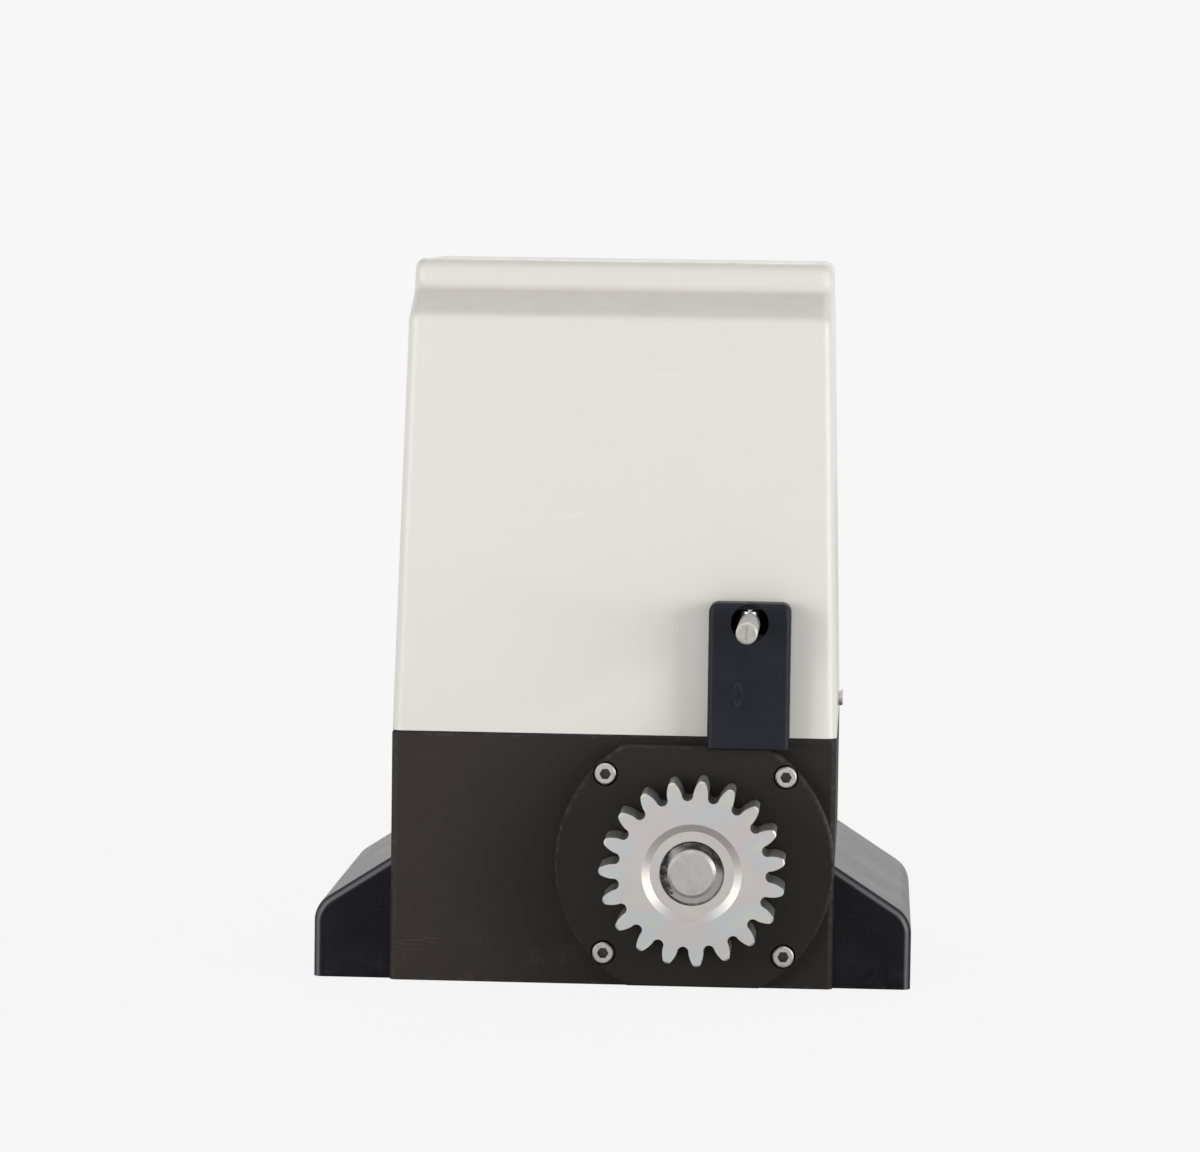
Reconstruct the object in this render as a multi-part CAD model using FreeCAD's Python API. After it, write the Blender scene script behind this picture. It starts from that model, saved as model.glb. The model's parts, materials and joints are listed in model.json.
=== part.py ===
import FreeCAD, Part
import math
import os

# Sliding gate motor: a cast gearbox base with a moulded cover over the motor and controls.
# Origin: on the ground under the middle of the base. X runs along the gate, -Y faces the gate
# and its rack, +Z is up. Millimetres.

# Overall body
body_width = 203.0
body_depth = 176.0
base_height = 114.0
overall_height = 330.0
base_wall = 5.0
base_floor = 6.0
base_corner_radius = 3.0

# Mounting brackets and the covers over them
mount_reach = 27.0
mount_inset = 13.0
mount_thickness = 8.0
mount_flange_height = 36.0
mount_flange_thickness = 4.0
mount_screw_inset = 30.0
mount_screw_z = 24.0
mount_screw_radius = 3.0
mount_screw_length = 9.0
mount_head_radius = 5.0
mount_head_height = 4.0
slot_width = 11.0
slot_length = 20.0
slot_spacing_x = 234.0
slot_end_gap = 20.0
foot_width = 35.5
foot_inset = 4.0
foot_height = 56.0
foot_outer_height = 33.0
foot_corner_radius = 14.0
foot_rim_radius = 4.0
foot_wall = 2.5
foot_rib_spacing = 60.0

# Cover
cover_wall = 3.0
cover_draft = 1.55
cover_edge_radius = 5.0
shoulder_drop = 25.0
shoulder_rise = 12.0
shoulder_setback = 22.0
shoulder_crest_radius = 4.6
shoulder_valley_radius = 5.0
bead_radius = 6.0
gasket_thickness = 1.0

# Gearbox lid that closes the base and carries the motor
lid_thickness = 6.0
lid_drop = 1.0
lid_rim_height = 11.0
lid_rim_wall = 2.5
ledge_width = 6.0
post_radius = 8.0
lid_screw_radius = 2.5
lid_screw_length = 18.0
cover_screw_rise = 10.0
cover_screw_radius = 2.0
cover_screw_length = 14.0
cover_head_radius = 4.0
cover_head_height = 2.2
cover_lug_width = 16.0

# Output shaft line
shaft_radius = 11.0
shaft_shoulder_radius = 15.0
wheel_seat_radius = 13.0
flange_overhang = 6.5
flange_thickness = 8.0
flange_top_gap = 3.0
flange_bottom_gap = 1.0
spigot_radius = 36.0
spigot_length = 16.0
flange_screw_inset = 16.0
flange_screw_radius = 3.0
flange_screw_length = 22.0
flange_head_radius = 4.8
flange_head_height = 6.0
flange_head_sink = 4.5
seal_radius = 17.5
seal_width = 7.0

# Drive pinion
pinion_module = 4.0
pinion_teeth = 19
pinion_width = 25.0
pinion_gap = 4.0
pinion_phase = -86.1
pinion_dish_radius = 22.5
pinion_dish_floor_radius = 19.0
pinion_dish_depth = 2.0
pinion_recess_radius = 14.6
pinion_recess_depth = 5.5
tip_rounding = 0.16
pinion_hub_radius = 26.0
pinion_edge_chamfer = 0.8
key_width = 6.0
key_height = 6.0
key_length = 18.0
circlip_thickness = 1.5
circlip_outer_radius = 13.8
circlip_groove_depth = 0.7
eye_radius = 1.6
circlip_gap_direction = 203.0
circlip_gap_angle = 34.0
shaft_end_proud = 0.5

# Worm drive
worm_module = 2.5
wheel_teeth = 30
worm_pitch_radius = 12.0
worm_length = 44.0
wheel_width = 16.0
wheel_hub_radius = 22.0
wheel_hub_width = 24.0
wheel_rim_wall = 7.0
wheel_web = 9.0
rear_bearing_gap = 24.0
pressure_angle = 20.0
tooth_backlash = 0.3

# Ball bearings: outer radius, inner radius, width
output_bearing_radius = 25.0
output_bearing_width = 14.0
floor_bearing_radius = 17.5
floor_bearing_bore = 7.5
floor_bearing_width = 11.0
lid_bearing_radius = 20.0
lid_bearing_bore = 8.5
lid_bearing_width = 12.0
top_bearing_radius = 16.0
top_bearing_bore = 6.0
top_bearing_width = 10.0
ring_wall = 3.6

# Motor
motor_bulk = 12.0
stack_height = 78.0
bell_height = 26.0
bell_wall = 4.0
stator_bore = 31.0
rotor_gap = 0.5
rotor_end_ring = 7.0
stator_slots = 12
slot_depth = 12.0
slot_opening = 7.0
winding_height = 16.0
motor_bolt_radius = 2.5
motor_bolt_head = 4.5

# Controls on the lid
capacitor_radius = 21.0
capacitor_height = 88.0
capacitor_x = 72.0
capacitor_gap = 8.0
board_width = 156.0
board_height = 104.0
board_thickness = 1.6
board_lift = 14.0
board_gap = 8.0
bracket_thickness = 2.0
bracket_foot = 14.0
bracket_foot_inset = 20.0
bracket_border = 20.0
bracket_setback = 12.0
standoff_radius = 3.0
standoff_inset = 8.0
standoff_hole_radius = 1.6
relay_side = 16.0
relay_gap = 5.0
terminal_rise = 3.0
terminal_depth = 11.0
terminal_height = 10.0
terminal_entry = 3.0
transformer_width = 42.0
transformer_height = 36.0
transformer_core_depth = 30.0
transformer_coil_width = 30.0
transformer_coil_depth = 36.0

# Cable entry
duct_x = -74.0
duct_setback = 46.0
duct_radius = 15.0
duct_wall = 4.0
grommet_radius = 10.0
grommet_lip = 4.0
grommet_wall = 3.0

# Spring limit switch
switch_x = 61.5
switch_width = 37.2
switch_height = 66.0
switch_front = 12.0
switch_back = 28.0
switch_side_inset = 2.2
switch_wall = 3.0
switch_corner_radius = 4.4
mark_height = 11.0
mark_width = 4.6
mark_drop = 41.5
mark_offset = -5.0
mark_depth = 0.5
switch_edge_radius = 2.5
spring_drop = 9.0
spring_radius = 4.8
spring_wire = 1.0
spring_length = 46.0
spring_tip_length = 4.0
tip_bevel = 0.8
tip_plug = 8.0
tip_slot_width = 1.3
tip_slot_depth = 1.8
tip_slot_reach = 3.0
collar_radius = 8.6
lever_pivot_depth = 6.0
lever_hub_radius = 4.2
lever_hub_height = 10.0
lever_pin_radius = 1.5
lever_finger_length = 15.0

# Manual release on the rear face
release_length = 92.0
release_height = 24.0
release_thickness = 12.0
release_hinge_offset = 12.0
release_pin_radius = 2.5
release_ear_wall = 3.5
bezel_margin = 8.0
bezel_thickness = 3.0
bezel_gap = 1.0
bezel_head_radius = 3.6
bezel_head_height = 2.4
bezel_screw_radius = 2.0
bezel_screw_length = 9.0
lock_radius = 7.0
lock_inset = 16.0
lock_flange_radius = 9.0
plunger_radius = 4.0
plunger_travel = 6.0
plunger_engagement = 16.0

# Clearances
running_clearance = 0.05
seat_clearance = 0.05
body_clearance = 0.3
part_clearance = 0.6
free_clearance = 2.0

# Derived places
side_x = body_width / 2
front_y = -body_depth / 2
rear_y = body_depth / 2
mount_length = body_depth - 2 * mount_inset
mount_screw_spacing = mount_length - 2 * mount_screw_inset
slot_spacing_y = mount_length - 2 * slot_end_gap
flange_radius = base_height / 2 + flange_overhang
output_x = side_x - flange_radius
output_z = base_height / 2
wheel_y = -body_depth / 8
duct_y = rear_y - duct_setback
flange_screw_spacing = base_height - 2 * flange_screw_inset
motor_radius = body_depth / 4 + motor_bulk
capacitor_y = front_y + switch_back + capacitor_radius + capacitor_gap
seam_z = base_height + gasket_thickness
shoulder_z = overall_height - shoulder_drop
cover_screw_z = seam_z + cover_screw_rise
lid_top = base_height - lid_drop
ledge_z = lid_top - lid_thickness
inner_x = side_x - base_wall
inner_y = rear_y - base_wall
draft_slope = math.tan(math.radians(cover_draft))
flange_front_y = front_y - flange_thickness
pinion_back_y = flange_front_y - pinion_gap
pinion_front_y = pinion_back_y - pinion_width
circlip_back_y = pinion_front_y + pinion_recess_depth
shaft_end_y = pinion_front_y - shaft_end_proud
front_bearing_y = front_y + spigot_length - output_bearing_width
wheel_pitch_radius = worm_module * wheel_teeth / 2
worm_x = output_x - wheel_pitch_radius - worm_pitch_radius
rear_bearing_y = wheel_y + wheel_hub_width / 2 + rear_bearing_gap
pedestal_wall = 8.0
shaft_rear_y = rear_bearing_y + output_bearing_width
floor_bearing_z = base_floor + 2.0
lid_bearing_z = lid_top - lid_bearing_width
motor_base_z = lid_top
stack_z = motor_base_z + bell_height
upper_bell_z = stack_z + stack_height
motor_top_z = upper_bell_z + bell_height
bracket_y = rear_y - bracket_setback
switch_front_y = front_y - switch_front
switch_base_z = base_height - flange_top_gap
switch_top_z = switch_base_z + switch_height
spring_z = switch_top_z - spring_drop
lever_pivot_y = switch_front_y + lever_pivot_depth
release_x = output_x + release_hinge_offset
bezel_front_y = rear_y + bezel_thickness
release_y = bezel_front_y + bezel_gap + release_thickness / 2
along_x = FreeCAD.Vector(1, 0, 0)
along_y = FreeCAD.Vector(0, 1, 0)
along_z = FreeCAD.Vector(0, 0, 1)


def place(x, y, z):
    return FreeCAD.Vector(x, y, z)


def block(x0, x1, y0, y1, z0, z1):
    return Part.makeBox(x1 - x0, y1 - y0, z1 - z0, place(x0, y0, z0))


def centred_block(x, y, width, depth, z0, z1):
    return block(x - width / 2, x + width / 2, y - depth / 2, y + depth / 2, z0, z1)


def rod(radius, start, axis, length):
    return Part.makeCylinder(radius, length, start, axis)


def tube(outer, inner, start, axis, length):
    hole = rod(inner, start - axis, axis, length + 2)
    return rod(outer, start, axis, length).cut(hole)


def fuse_all(shapes):
    return shapes[0].multiFuse(shapes[1:]).removeSplitter()


def cut_all(shape, tools):
    return shape.cut(Part.makeCompound(tools))


def mirrored(shape, normal):
    return shape.mirror(place(0, 0, 0), normal)


def corners(x, y, span_x, span_y):
    return [(x + sx * span_x / 2, y + sy * span_y / 2) for sx in (-1, 1) for sy in (-1, 1)]


# A closed flat outline: straight runs joined by tangent arcs of the given radii.
def rounded_outline(points, radii):
    edges = []
    ends = []
    for index, point in enumerate(points):
        radius = radii[index]
        if radius <= 0:
            ends.append((point, None, point))
            continue
        before = (points[index - 1] - point).normalize()
        after = (points[(index + 1) % len(points)] - point).normalize()
        half = math.acos(max(-1.0, min(1.0, before.dot(after)))) / 2
        reach = radius / math.tan(half)
        bisector = (before + after).normalize()
        middle = point + bisector * (radius / math.sin(half) - radius)
        ends.append((point + before * reach, middle, point + after * reach))
    for index, (start, middle, finish) in enumerate(ends):
        if middle is not None:
            edges.append(Part.Arc(start, middle, finish).toShape())
        following = ends[(index + 1) % len(ends)][0]
        if (following - finish).Length > 1e-6:
            edges.append(Part.makeLine(finish, following))
    return Part.Wire(edges)


def prism(wire, direction):
    return Part.Face(wire).extrude(direction)


def rounded_block(x0, x1, y0, y1, z0, z1, radius):
    points = [place(x0, y0, z0), place(x1, y0, z0), place(x1, y1, z0), place(x0, y1, z0)]
    return prism(rounded_outline(points, [radius] * 4), place(0, 0, z1 - z0))


# A body turned about an axis parallel to Y or Z from (radius, distance) pairs.
def turned(profile, start, axis):
    along = place(0, 1, 0) if axis == "Y" else place(0, 0, 1)
    out = place(1, 0, 0)
    points = [start + out * radius + along * distance for radius, distance in profile]
    points.append(points[0])
    return Part.Face(Part.makePolygon(points)).revolve(start, along, 360)


def edges_where(shape, test):
    return [edge for edge in shape.Edges if test(edge)]


def edge_middle(edge):
    return edge.valueAt((edge.FirstParameter + edge.LastParameter) / 2)


# Hex-socket screw with its head at start and its shank along the axis.
def socket_screw(start, axis, head_radius, head_height, shank_radius, length):
    head = rod(head_radius, start, axis, head_height)
    rim = [edge for edge in head.Edges if abs((edge.CenterOfMass - start).dot(axis)) < 0.01
           and edge.Length > head_radius * 6]
    head = head.makeChamfer(head_radius * 0.12, rim)
    shank = rod(shank_radius, start, axis, length + head_height)
    side = place(1, 0, 0) if abs(axis.x) < 0.5 else place(0, 1, 0)
    across = axis.cross(side)
    socket_radius = head_radius * 0.55
    points = []
    for step in range(6):
        turn = math.radians(60 * step)
        points.append(start + side * (socket_radius * math.cos(turn))
                      + across * (socket_radius * math.sin(turn)))
    points.append(points[0])
    socket = prism(Part.makePolygon(points), axis * (head_height * 0.55))
    return head.fuse(shank).removeSplitter().cut(socket)


# --- Gear outlines -------------------------------------------------------------------------

def involute_turn(radius, base_radius):
    if radius <= base_radius:
        return 0.0
    roll = math.sqrt((radius / base_radius) ** 2 - 1)
    return roll - math.atan(roll)


# Outline of a spur gear about (x, z) in the plane at y. Each flank is the arc through three
# points of the true involute; below the base circle it drops radially to the root.
def gear_outline(x, y, z, module, teeth, tip_radius, root_radius, phase, backlash):
    pitch_radius = module * teeth / 2
    base_radius = pitch_radius * math.cos(math.radians(pressure_angle))
    half_tooth = math.pi / (2 * teeth) - backlash / (2 * pitch_radius)
    flank_start = max(base_radius, root_radius)
    pitch_turn = involute_turn(pitch_radius, base_radius)

    def at(radius, angle):
        return place(x + radius * math.cos(angle), y, z + radius * math.sin(angle))

    def half_width(radius):
        return half_tooth + pitch_turn - involute_turn(radius, base_radius)

    flank_end = tip_radius - tip_rounding * module
    middle_radius = (flank_start + flank_end) / 2
    edges = []
    for tooth in range(teeth):
        centre = math.radians(phase) + 2 * math.pi * tooth / teeth
        following = centre + 2 * math.pi / teeth
        rise = [at(r, centre - half_width(r)) for r in (flank_start, middle_radius, flank_end)]
        fall = [at(r, centre + half_width(r)) for r in (flank_end, middle_radius, flank_start)]
        next_rise = at(flank_start, following - half_width(flank_start))
        edges.append(Part.Arc(rise[0], rise[1], rise[2]).toShape())
        edges.append(Part.Arc(rise[2], at(tip_radius, centre), fall[0]).toShape())
        edges.append(Part.Arc(fall[0], fall[1], fall[2]).toShape())
        edges.append(Part.Arc(fall[2], at(root_radius, centre + math.pi / teeth), next_rise).toShape())
    return Part.Wire(edges)


# --- Base, ears and feet -------------------------------------------------------------------

def slot_tool(x, y, z0, z1):
    straight = slot_length - slot_width
    middle = centred_block(x, y, straight, slot_width, z0, z1)
    ends = [rod(slot_width / 2, place(x + side * straight / 2, y, z0), along_z, z1 - z0)
            for side in (-1, 1)]
    return fuse_all([middle] + ends)


def lid_screw_places():
    reach_x = inner_x - post_radius + 1.0
    reach_y = inner_y - post_radius + 1.0
    return corners(0, 0, 2 * reach_x, 2 * reach_y)


def flange_screw_places():
    return corners(output_x, output_z, flange_screw_spacing, flange_screw_spacing)


def bezel_screw_places():
    near = release_x + release_thickness / 2 + bezel_margin / 2 + 4.0
    far = release_x - release_length + release_thickness / 2 - bezel_margin / 2 - 1.0
    return [(near, output_z), (far, output_z)]


def base_housing():
    shell = rounded_block(-side_x, side_x, front_y, rear_y, 0, base_height, base_corner_radius)
    cavity = block(-inner_x, inner_x, -inner_y, inner_y, base_floor, base_height + 1)
    shell = shell.cut(cavity)
    ledge = block(-inner_x, inner_x, -inner_y, inner_y, ledge_z - ledge_width, ledge_z)
    ledge = ledge.cut(block(-inner_x + ledge_width, inner_x - ledge_width, -inner_y + ledge_width,
                            inner_y - ledge_width, ledge_z - ledge_width - 1, ledge_z + 1))
    pieces = [shell, ledge]
    for x, y in lid_screw_places():
        pieces.append(rod(post_radius, place(x, y, base_floor), along_z, ledge_z - base_floor))
    for x, z in flange_screw_places():
        pieces.append(rod(flange_screw_radius + 3.0, place(x, front_y + 1, z), along_y,
                          flange_screw_length + 1.0))
    pedestal_half = output_bearing_radius + pedestal_wall
    pieces.append(block(output_x - pedestal_half, output_x + pedestal_half, rear_bearing_y - 1.0,
                        rear_bearing_y + output_bearing_width, base_floor, output_z))
    pieces.append(rod(pedestal_half, place(output_x, rear_bearing_y - 1.0, output_z), along_y,
                      output_bearing_width + 1.0))
    pieces.append(rod(floor_bearing_radius + 5.0, place(worm_x, wheel_y, base_floor), along_z,
                      floor_bearing_z + floor_bearing_width - base_floor))
    pieces.append(rod(duct_radius + duct_wall, place(duct_x, duct_y, 0), along_z, ledge_z))
    boss_length = inner_y - (shaft_rear_y + 12.0)
    pieces.append(rod(plunger_radius + 6.0, place(output_x, inner_y - boss_length, output_z), along_y,
                      boss_length + base_wall))
    for x, z in bezel_screw_places():
        pieces.append(rod(5.0, place(x, inner_y - 6.0, z), along_y, 6.0 + base_wall))
    for y in (-mount_screw_spacing / 2, mount_screw_spacing / 2):
        pieces.append(rod(mount_screw_radius + 4.0, place(-side_x + 1.0, y, mount_screw_z), along_x,
                          base_wall + mount_screw_length - 2.0))
        pieces.append(rod(mount_screw_radius + 4.0, place(side_x - 1.0, y, mount_screw_z), along_x * -1,
                          base_wall + mount_screw_length - 2.0))
    casting = fuse_all(pieces)

    tools = [block(-inner_x, inner_x, -inner_y, inner_y, ledge_z, base_height + 1)]
    tools.append(rod(spigot_radius + seat_clearance, place(output_x, front_y - 1, output_z), along_y,
                     spigot_length + 2.0))
    tools.append(rod(output_bearing_radius + seat_clearance, place(output_x, rear_bearing_y, output_z),
                     along_y, output_bearing_width + 1.0))
    tools.append(rod(shaft_shoulder_radius + free_clearance, place(output_x, rear_bearing_y - 2.0, output_z),
                     along_y, output_bearing_width + 2.0))
    tools.append(rod(floor_bearing_radius + seat_clearance, place(worm_x, wheel_y, floor_bearing_z),
                     along_z, floor_bearing_width + 1.0))
    tools.append(rod(floor_bearing_bore + free_clearance, place(worm_x, wheel_y, floor_bearing_z - 1.0),
                     along_z, 2.0))
    tools.append(rod(duct_radius, place(duct_x, duct_y, -1), along_z, base_height + 2))
    tools.append(rod(plunger_radius + running_clearance, place(output_x, shaft_rear_y, output_z),
                     along_y, body_depth))
    for x, y in lid_screw_places():
        tools.append(rod(lid_screw_radius + seat_clearance,
                         place(x, y, lid_top - lid_screw_length - 1.0), along_z, lid_screw_length + 2))
    for x, z in flange_screw_places():
        tools.append(rod(flange_screw_radius + seat_clearance, place(x, front_y - 1, z), along_y,
                         flange_screw_length - flange_thickness + flange_head_sink + 3.0))
    for x, z in bezel_screw_places():
        tools.append(rod(2.0 + seat_clearance, place(x, rear_y - 9.0, z), along_y, 10.0))
    for side in (-1, 1):
        for y in (-mount_screw_spacing / 2, mount_screw_spacing / 2):
            tools.append(rod(mount_screw_radius + seat_clearance,
                             place(side * (side_x + 1.0), y, mount_screw_z), along_x * -side,
                             mount_screw_length + 2.0))
    return cut_all(casting, tools)


# An angle bracket with its upright against the base and two anchor slots in its foot.
def mounting_bracket(side):
    x0 = side_x
    x1 = side_x + mount_reach
    half = mount_length / 2
    foot = prism(rounded_outline([place(x0, -half, 0), place(x1, -half, 0), place(x1, half, 0),
                                  place(x0, half, 0)], [0, 6.0, 6.0, 0]), place(0, 0, mount_thickness))
    upright = block(x0, x0 + mount_flange_thickness, -half, half, 0, mount_flange_height)
    bracket = foot.fuse(upright).removeSplitter()
    tools = []
    for y in (-mount_screw_spacing / 2, mount_screw_spacing / 2):
        tools.append(rod(mount_screw_radius + 0.3, place(x0 - 1, y, mount_screw_z), along_x,
                         mount_flange_thickness + 2))
    for y in (-slot_spacing_y / 2, slot_spacing_y / 2):
        tools.append(slot_tool(slot_spacing_x / 2, y, -1, mount_thickness + 1))
    bracket = cut_all(bracket, tools)
    return bracket if side > 0 else mirrored(bracket, along_x)


def bracket_screws():
    screws = []
    for side in (-1, 1):
        for y in (-mount_screw_spacing / 2, mount_screw_spacing / 2):
            outside = side_x + mount_flange_thickness + mount_head_height
            screws.append(socket_screw(place(side * outside, y, mount_screw_z), along_x * -side,
                                       mount_head_radius, mount_head_height, mount_screw_radius,
                                       mount_screw_length))
    return Part.makeCompound(screws)


def foot_outline(offset, y):
    outer_x = side_x + foot_width
    slope = (foot_height - foot_outer_height) / foot_width
    drop = offset * math.sqrt(1 + slope * slope)
    inner = side_x - offset
    bottom = -offset
    points = [place(inner, y, bottom), place(inner, y, foot_height - drop + slope * offset),
              place(outer_x - offset, y, foot_outer_height - drop + slope * offset),
              place(outer_x - offset, y, bottom)]
    return rounded_outline(points, [0, 0, foot_corner_radius - offset, 0])


def foot_cover(side):
    near_y = front_y + foot_inset
    length = body_depth - 2 * foot_inset
    shell = prism(foot_outline(0, near_y), place(0, length, 0))

    def on_rim(edge):
        point = edge_middle(edge)
        at_end = abs(abs(point.y) - length / 2) < 0.01
        return at_end and point.x > side_x + 0.5 and point.z > 0.5 and abs(edge.BoundBox.YLength) < 0.01

    shell = shell.makeFillet(foot_rim_radius, edges_where(shell, on_rim))
    cavity = prism(foot_outline(foot_wall, near_y + foot_wall), place(0, length - 2 * foot_wall, 0))
    keep = block(side_x, side_x + foot_width, front_y, rear_y, 0, foot_height)
    cavity_inside = cavity.common(keep)
    shell = shell.cut(cavity)
    ribs = []
    for y in (-foot_rib_spacing / 2, foot_rib_spacing / 2):
        web = block(side_x + mount_flange_thickness + part_clearance, side_x + foot_width, y - foot_wall / 2,
                    y + foot_wall / 2, mount_thickness, foot_height)
        ribs.append(web.common(cavity_inside))
    cover = fuse_all([shell] + ribs)
    return cover if side > 0 else mirrored(cover, along_x)


# --- Cover -------------------------------------------------------------------------------

# The solid outline of the cover, shrunk on every side by offset. The side profile steps back
# over a shoulder to a raised crown; both flanks lean in by the moulding draft.
def cover_form(offset, bottom_z):
    lean = math.sqrt(1 + draft_slope * draft_slope)

    def half_depth(z):
        return rear_y - (z - seam_z) * draft_slope

    def half_width(z):
        return side_x - (z - seam_z) * draft_slope - offset * lean

    crown = half_depth(shoulder_z) - shoulder_setback
    valley_z = shoulder_z + shoulder_rise
    half = [(half_depth(bottom_z), bottom_z, 0), (half_depth(shoulder_z), shoulder_z,
            shoulder_crest_radius), (crown, valley_z, shoulder_valley_radius),
            (crown - (overall_height - valley_z) * draft_slope, overall_height, bead_radius)]
    reach = body_width
    points = [place(-reach, y, z) for y, z, radius in half]
    points += [place(-reach, -y, z) for y, z, radius in reversed(half)]
    radii = [radius for y, z, radius in half]
    radii += list(reversed(radii))
    profile = rounded_outline(points, radii)
    if offset > 0:
        profile = profile.makeOffset2D(-offset)
    form = prism(profile, place(2 * reach, 0, 0))
    top_z = overall_height + 1
    sides = Part.makePolygon([place(-half_width(bottom_z - offset), -reach, bottom_z - offset),
                              place(half_width(bottom_z - offset), -reach, bottom_z - offset),
                              place(half_width(top_z), -reach, top_z),
                              place(-half_width(top_z), -reach, top_z),
                              place(-half_width(bottom_z - offset), -reach, bottom_z - offset)])
    return form.common(prism(sides, place(0, 2 * reach, 0)))


def top_cover():
    outer = cover_form(0, seam_z)

    def on_flank(edge):
        point = edge_middle(edge)
        box = edge.BoundBox
        upright = box.XLength < box.ZLength * 0.1 + 0.2
        return upright and point.z > seam_z + 0.5 and abs(point.x) > side_x * 0.8 \
            or (box.XLength < 0.01 and point.z > overall_height - 0.5)

    outer = outer.makeFillet(cover_edge_radius, edges_where(outer, on_flank))
    inner = cover_form(cover_wall, seam_z - 10.0)
    shell = outer.cut(inner)
    passage_half = switch_width / 2 - switch_side_inset + part_clearance
    passage_top = switch_top_z - switch_side_inset + part_clearance
    passage_depth = (passage_top - seam_z) * draft_slope + 2 * cover_wall
    passage = block(switch_x - passage_half, switch_x + passage_half, front_y - 1.0,
                    front_y + passage_depth, seam_z - 1.0, passage_top)
    tools = [passage]
    for side in (-1, 1):
        tools.append(rod(cover_screw_radius + 0.2, place(side * side_x * 0.5, 0, cover_screw_z),
                         along_x * side, side_x))
    return cut_all(shell, tools)


def cover_gasket():
    outer = rounded_block(-side_x + 0.5, side_x - 0.5, front_y + 0.5, rear_y - 0.5, base_height, seam_z,
                          base_corner_radius)
    inner = rounded_block(-inner_x, inner_x, -inner_y, inner_y, base_height - 1, seam_z + 1, 1.0)
    notch = centred_block(switch_x, front_y, switch_width - 2 * switch_side_inset + 2 * part_clearance,
                          4 * base_wall, base_height - 1, seam_z + 1)
    return outer.cut(inner).cut(notch)


def cover_screws():
    screws = []
    for side in (-1, 1):
        lowest = cover_screw_z - cover_head_radius
        outside = side_x - (lowest - seam_z) * draft_slope
        start = place(side * (outside + cover_head_height), 0, cover_screw_z)
        screws.append(socket_screw(start, along_x * -side, cover_head_radius, cover_head_height,
                                   cover_screw_radius, cover_screw_length))
    return Part.makeCompound(screws)


# --- Lid ---------------------------------------------------------------------------------

def gearbox_lid():
    gap = 0.5
    plate = block(-inner_x + gap, inner_x - gap, -inner_y + gap, inner_y - gap, ledge_z, lid_top)
    rim_x = side_x - cover_wall - part_clearance - lid_rim_height * draft_slope
    rim_y = rear_y - cover_wall - part_clearance - lid_rim_height * draft_slope
    rim_x = min(rim_x, inner_x - gap)
    rim_y = min(rim_y, inner_y - gap)
    rim = block(-rim_x, rim_x, -rim_y, rim_y, lid_top, lid_top + lid_rim_height)
    rim = rim.cut(block(-rim_x + lid_rim_wall, rim_x - lid_rim_wall, -rim_y + lid_rim_wall,
                        rim_y - lid_rim_wall, lid_top - 1, lid_top + lid_rim_height + 1))
    pieces = [plate, rim]
    lug_top = cover_screw_z + cover_screw_radius + 4.0
    inside = side_x - (lug_top - seam_z) * draft_slope - cover_wall - 0.4
    for side in (-1, 1):
        x0, x1 = sorted((side * (rim_x - cover_screw_length), side * min(inside, rim_x)))
        pieces.append(block(x0, x1, -cover_lug_width / 2, cover_lug_width / 2, lid_top, lug_top))
    pieces.append(rod(lid_bearing_radius + 6.0, place(worm_x, wheel_y, lid_bearing_z - 3.0), along_z,
                      lid_top - lid_bearing_z + 3.0))
    lid = fuse_all(pieces)
    tools = [rod(lid_bearing_radius + seat_clearance, place(worm_x, wheel_y, lid_bearing_z), along_z,
                 lid_bearing_width + 1.0)]
    tools.append(rod(lid_bearing_radius - 3.0, place(worm_x, wheel_y, lid_bearing_z - 4.0), along_z, 5.0))
    tools.append(rod(grommet_radius + grommet_wall, place(duct_x, duct_y, ledge_z - 1), along_z,
                     lid_thickness + 2))
    for x, y in lid_screw_places():
        tools.append(rod(lid_screw_radius + 0.3, place(x, y, ledge_z - 1), along_z, lid_thickness + 2))
    tools.append(centred_block(switch_x, front_y, switch_width - 2 * switch_side_inset + 2 * part_clearance,
                               2 * (switch_back + part_clearance), lid_top, lid_top + lid_rim_height + 1))
    for side in (-1, 1):
        tools.append(rod(cover_screw_radius + seat_clearance, place(side * side_x * 0.5, 0,
                         cover_screw_z), along_x * side, side_x))
    return cut_all(lid, tools)


def lid_screws():
    screws = []
    for x, y in lid_screw_places():
        start = place(x, y, lid_top + 4.0)
        screws.append(socket_screw(start, along_z * -1, 4.0, 4.0, lid_screw_radius, lid_screw_length - 2.0))
    return Part.makeCompound(screws)


# --- Output shaft, pinion and flange ---------------------------------------------------------

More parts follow.
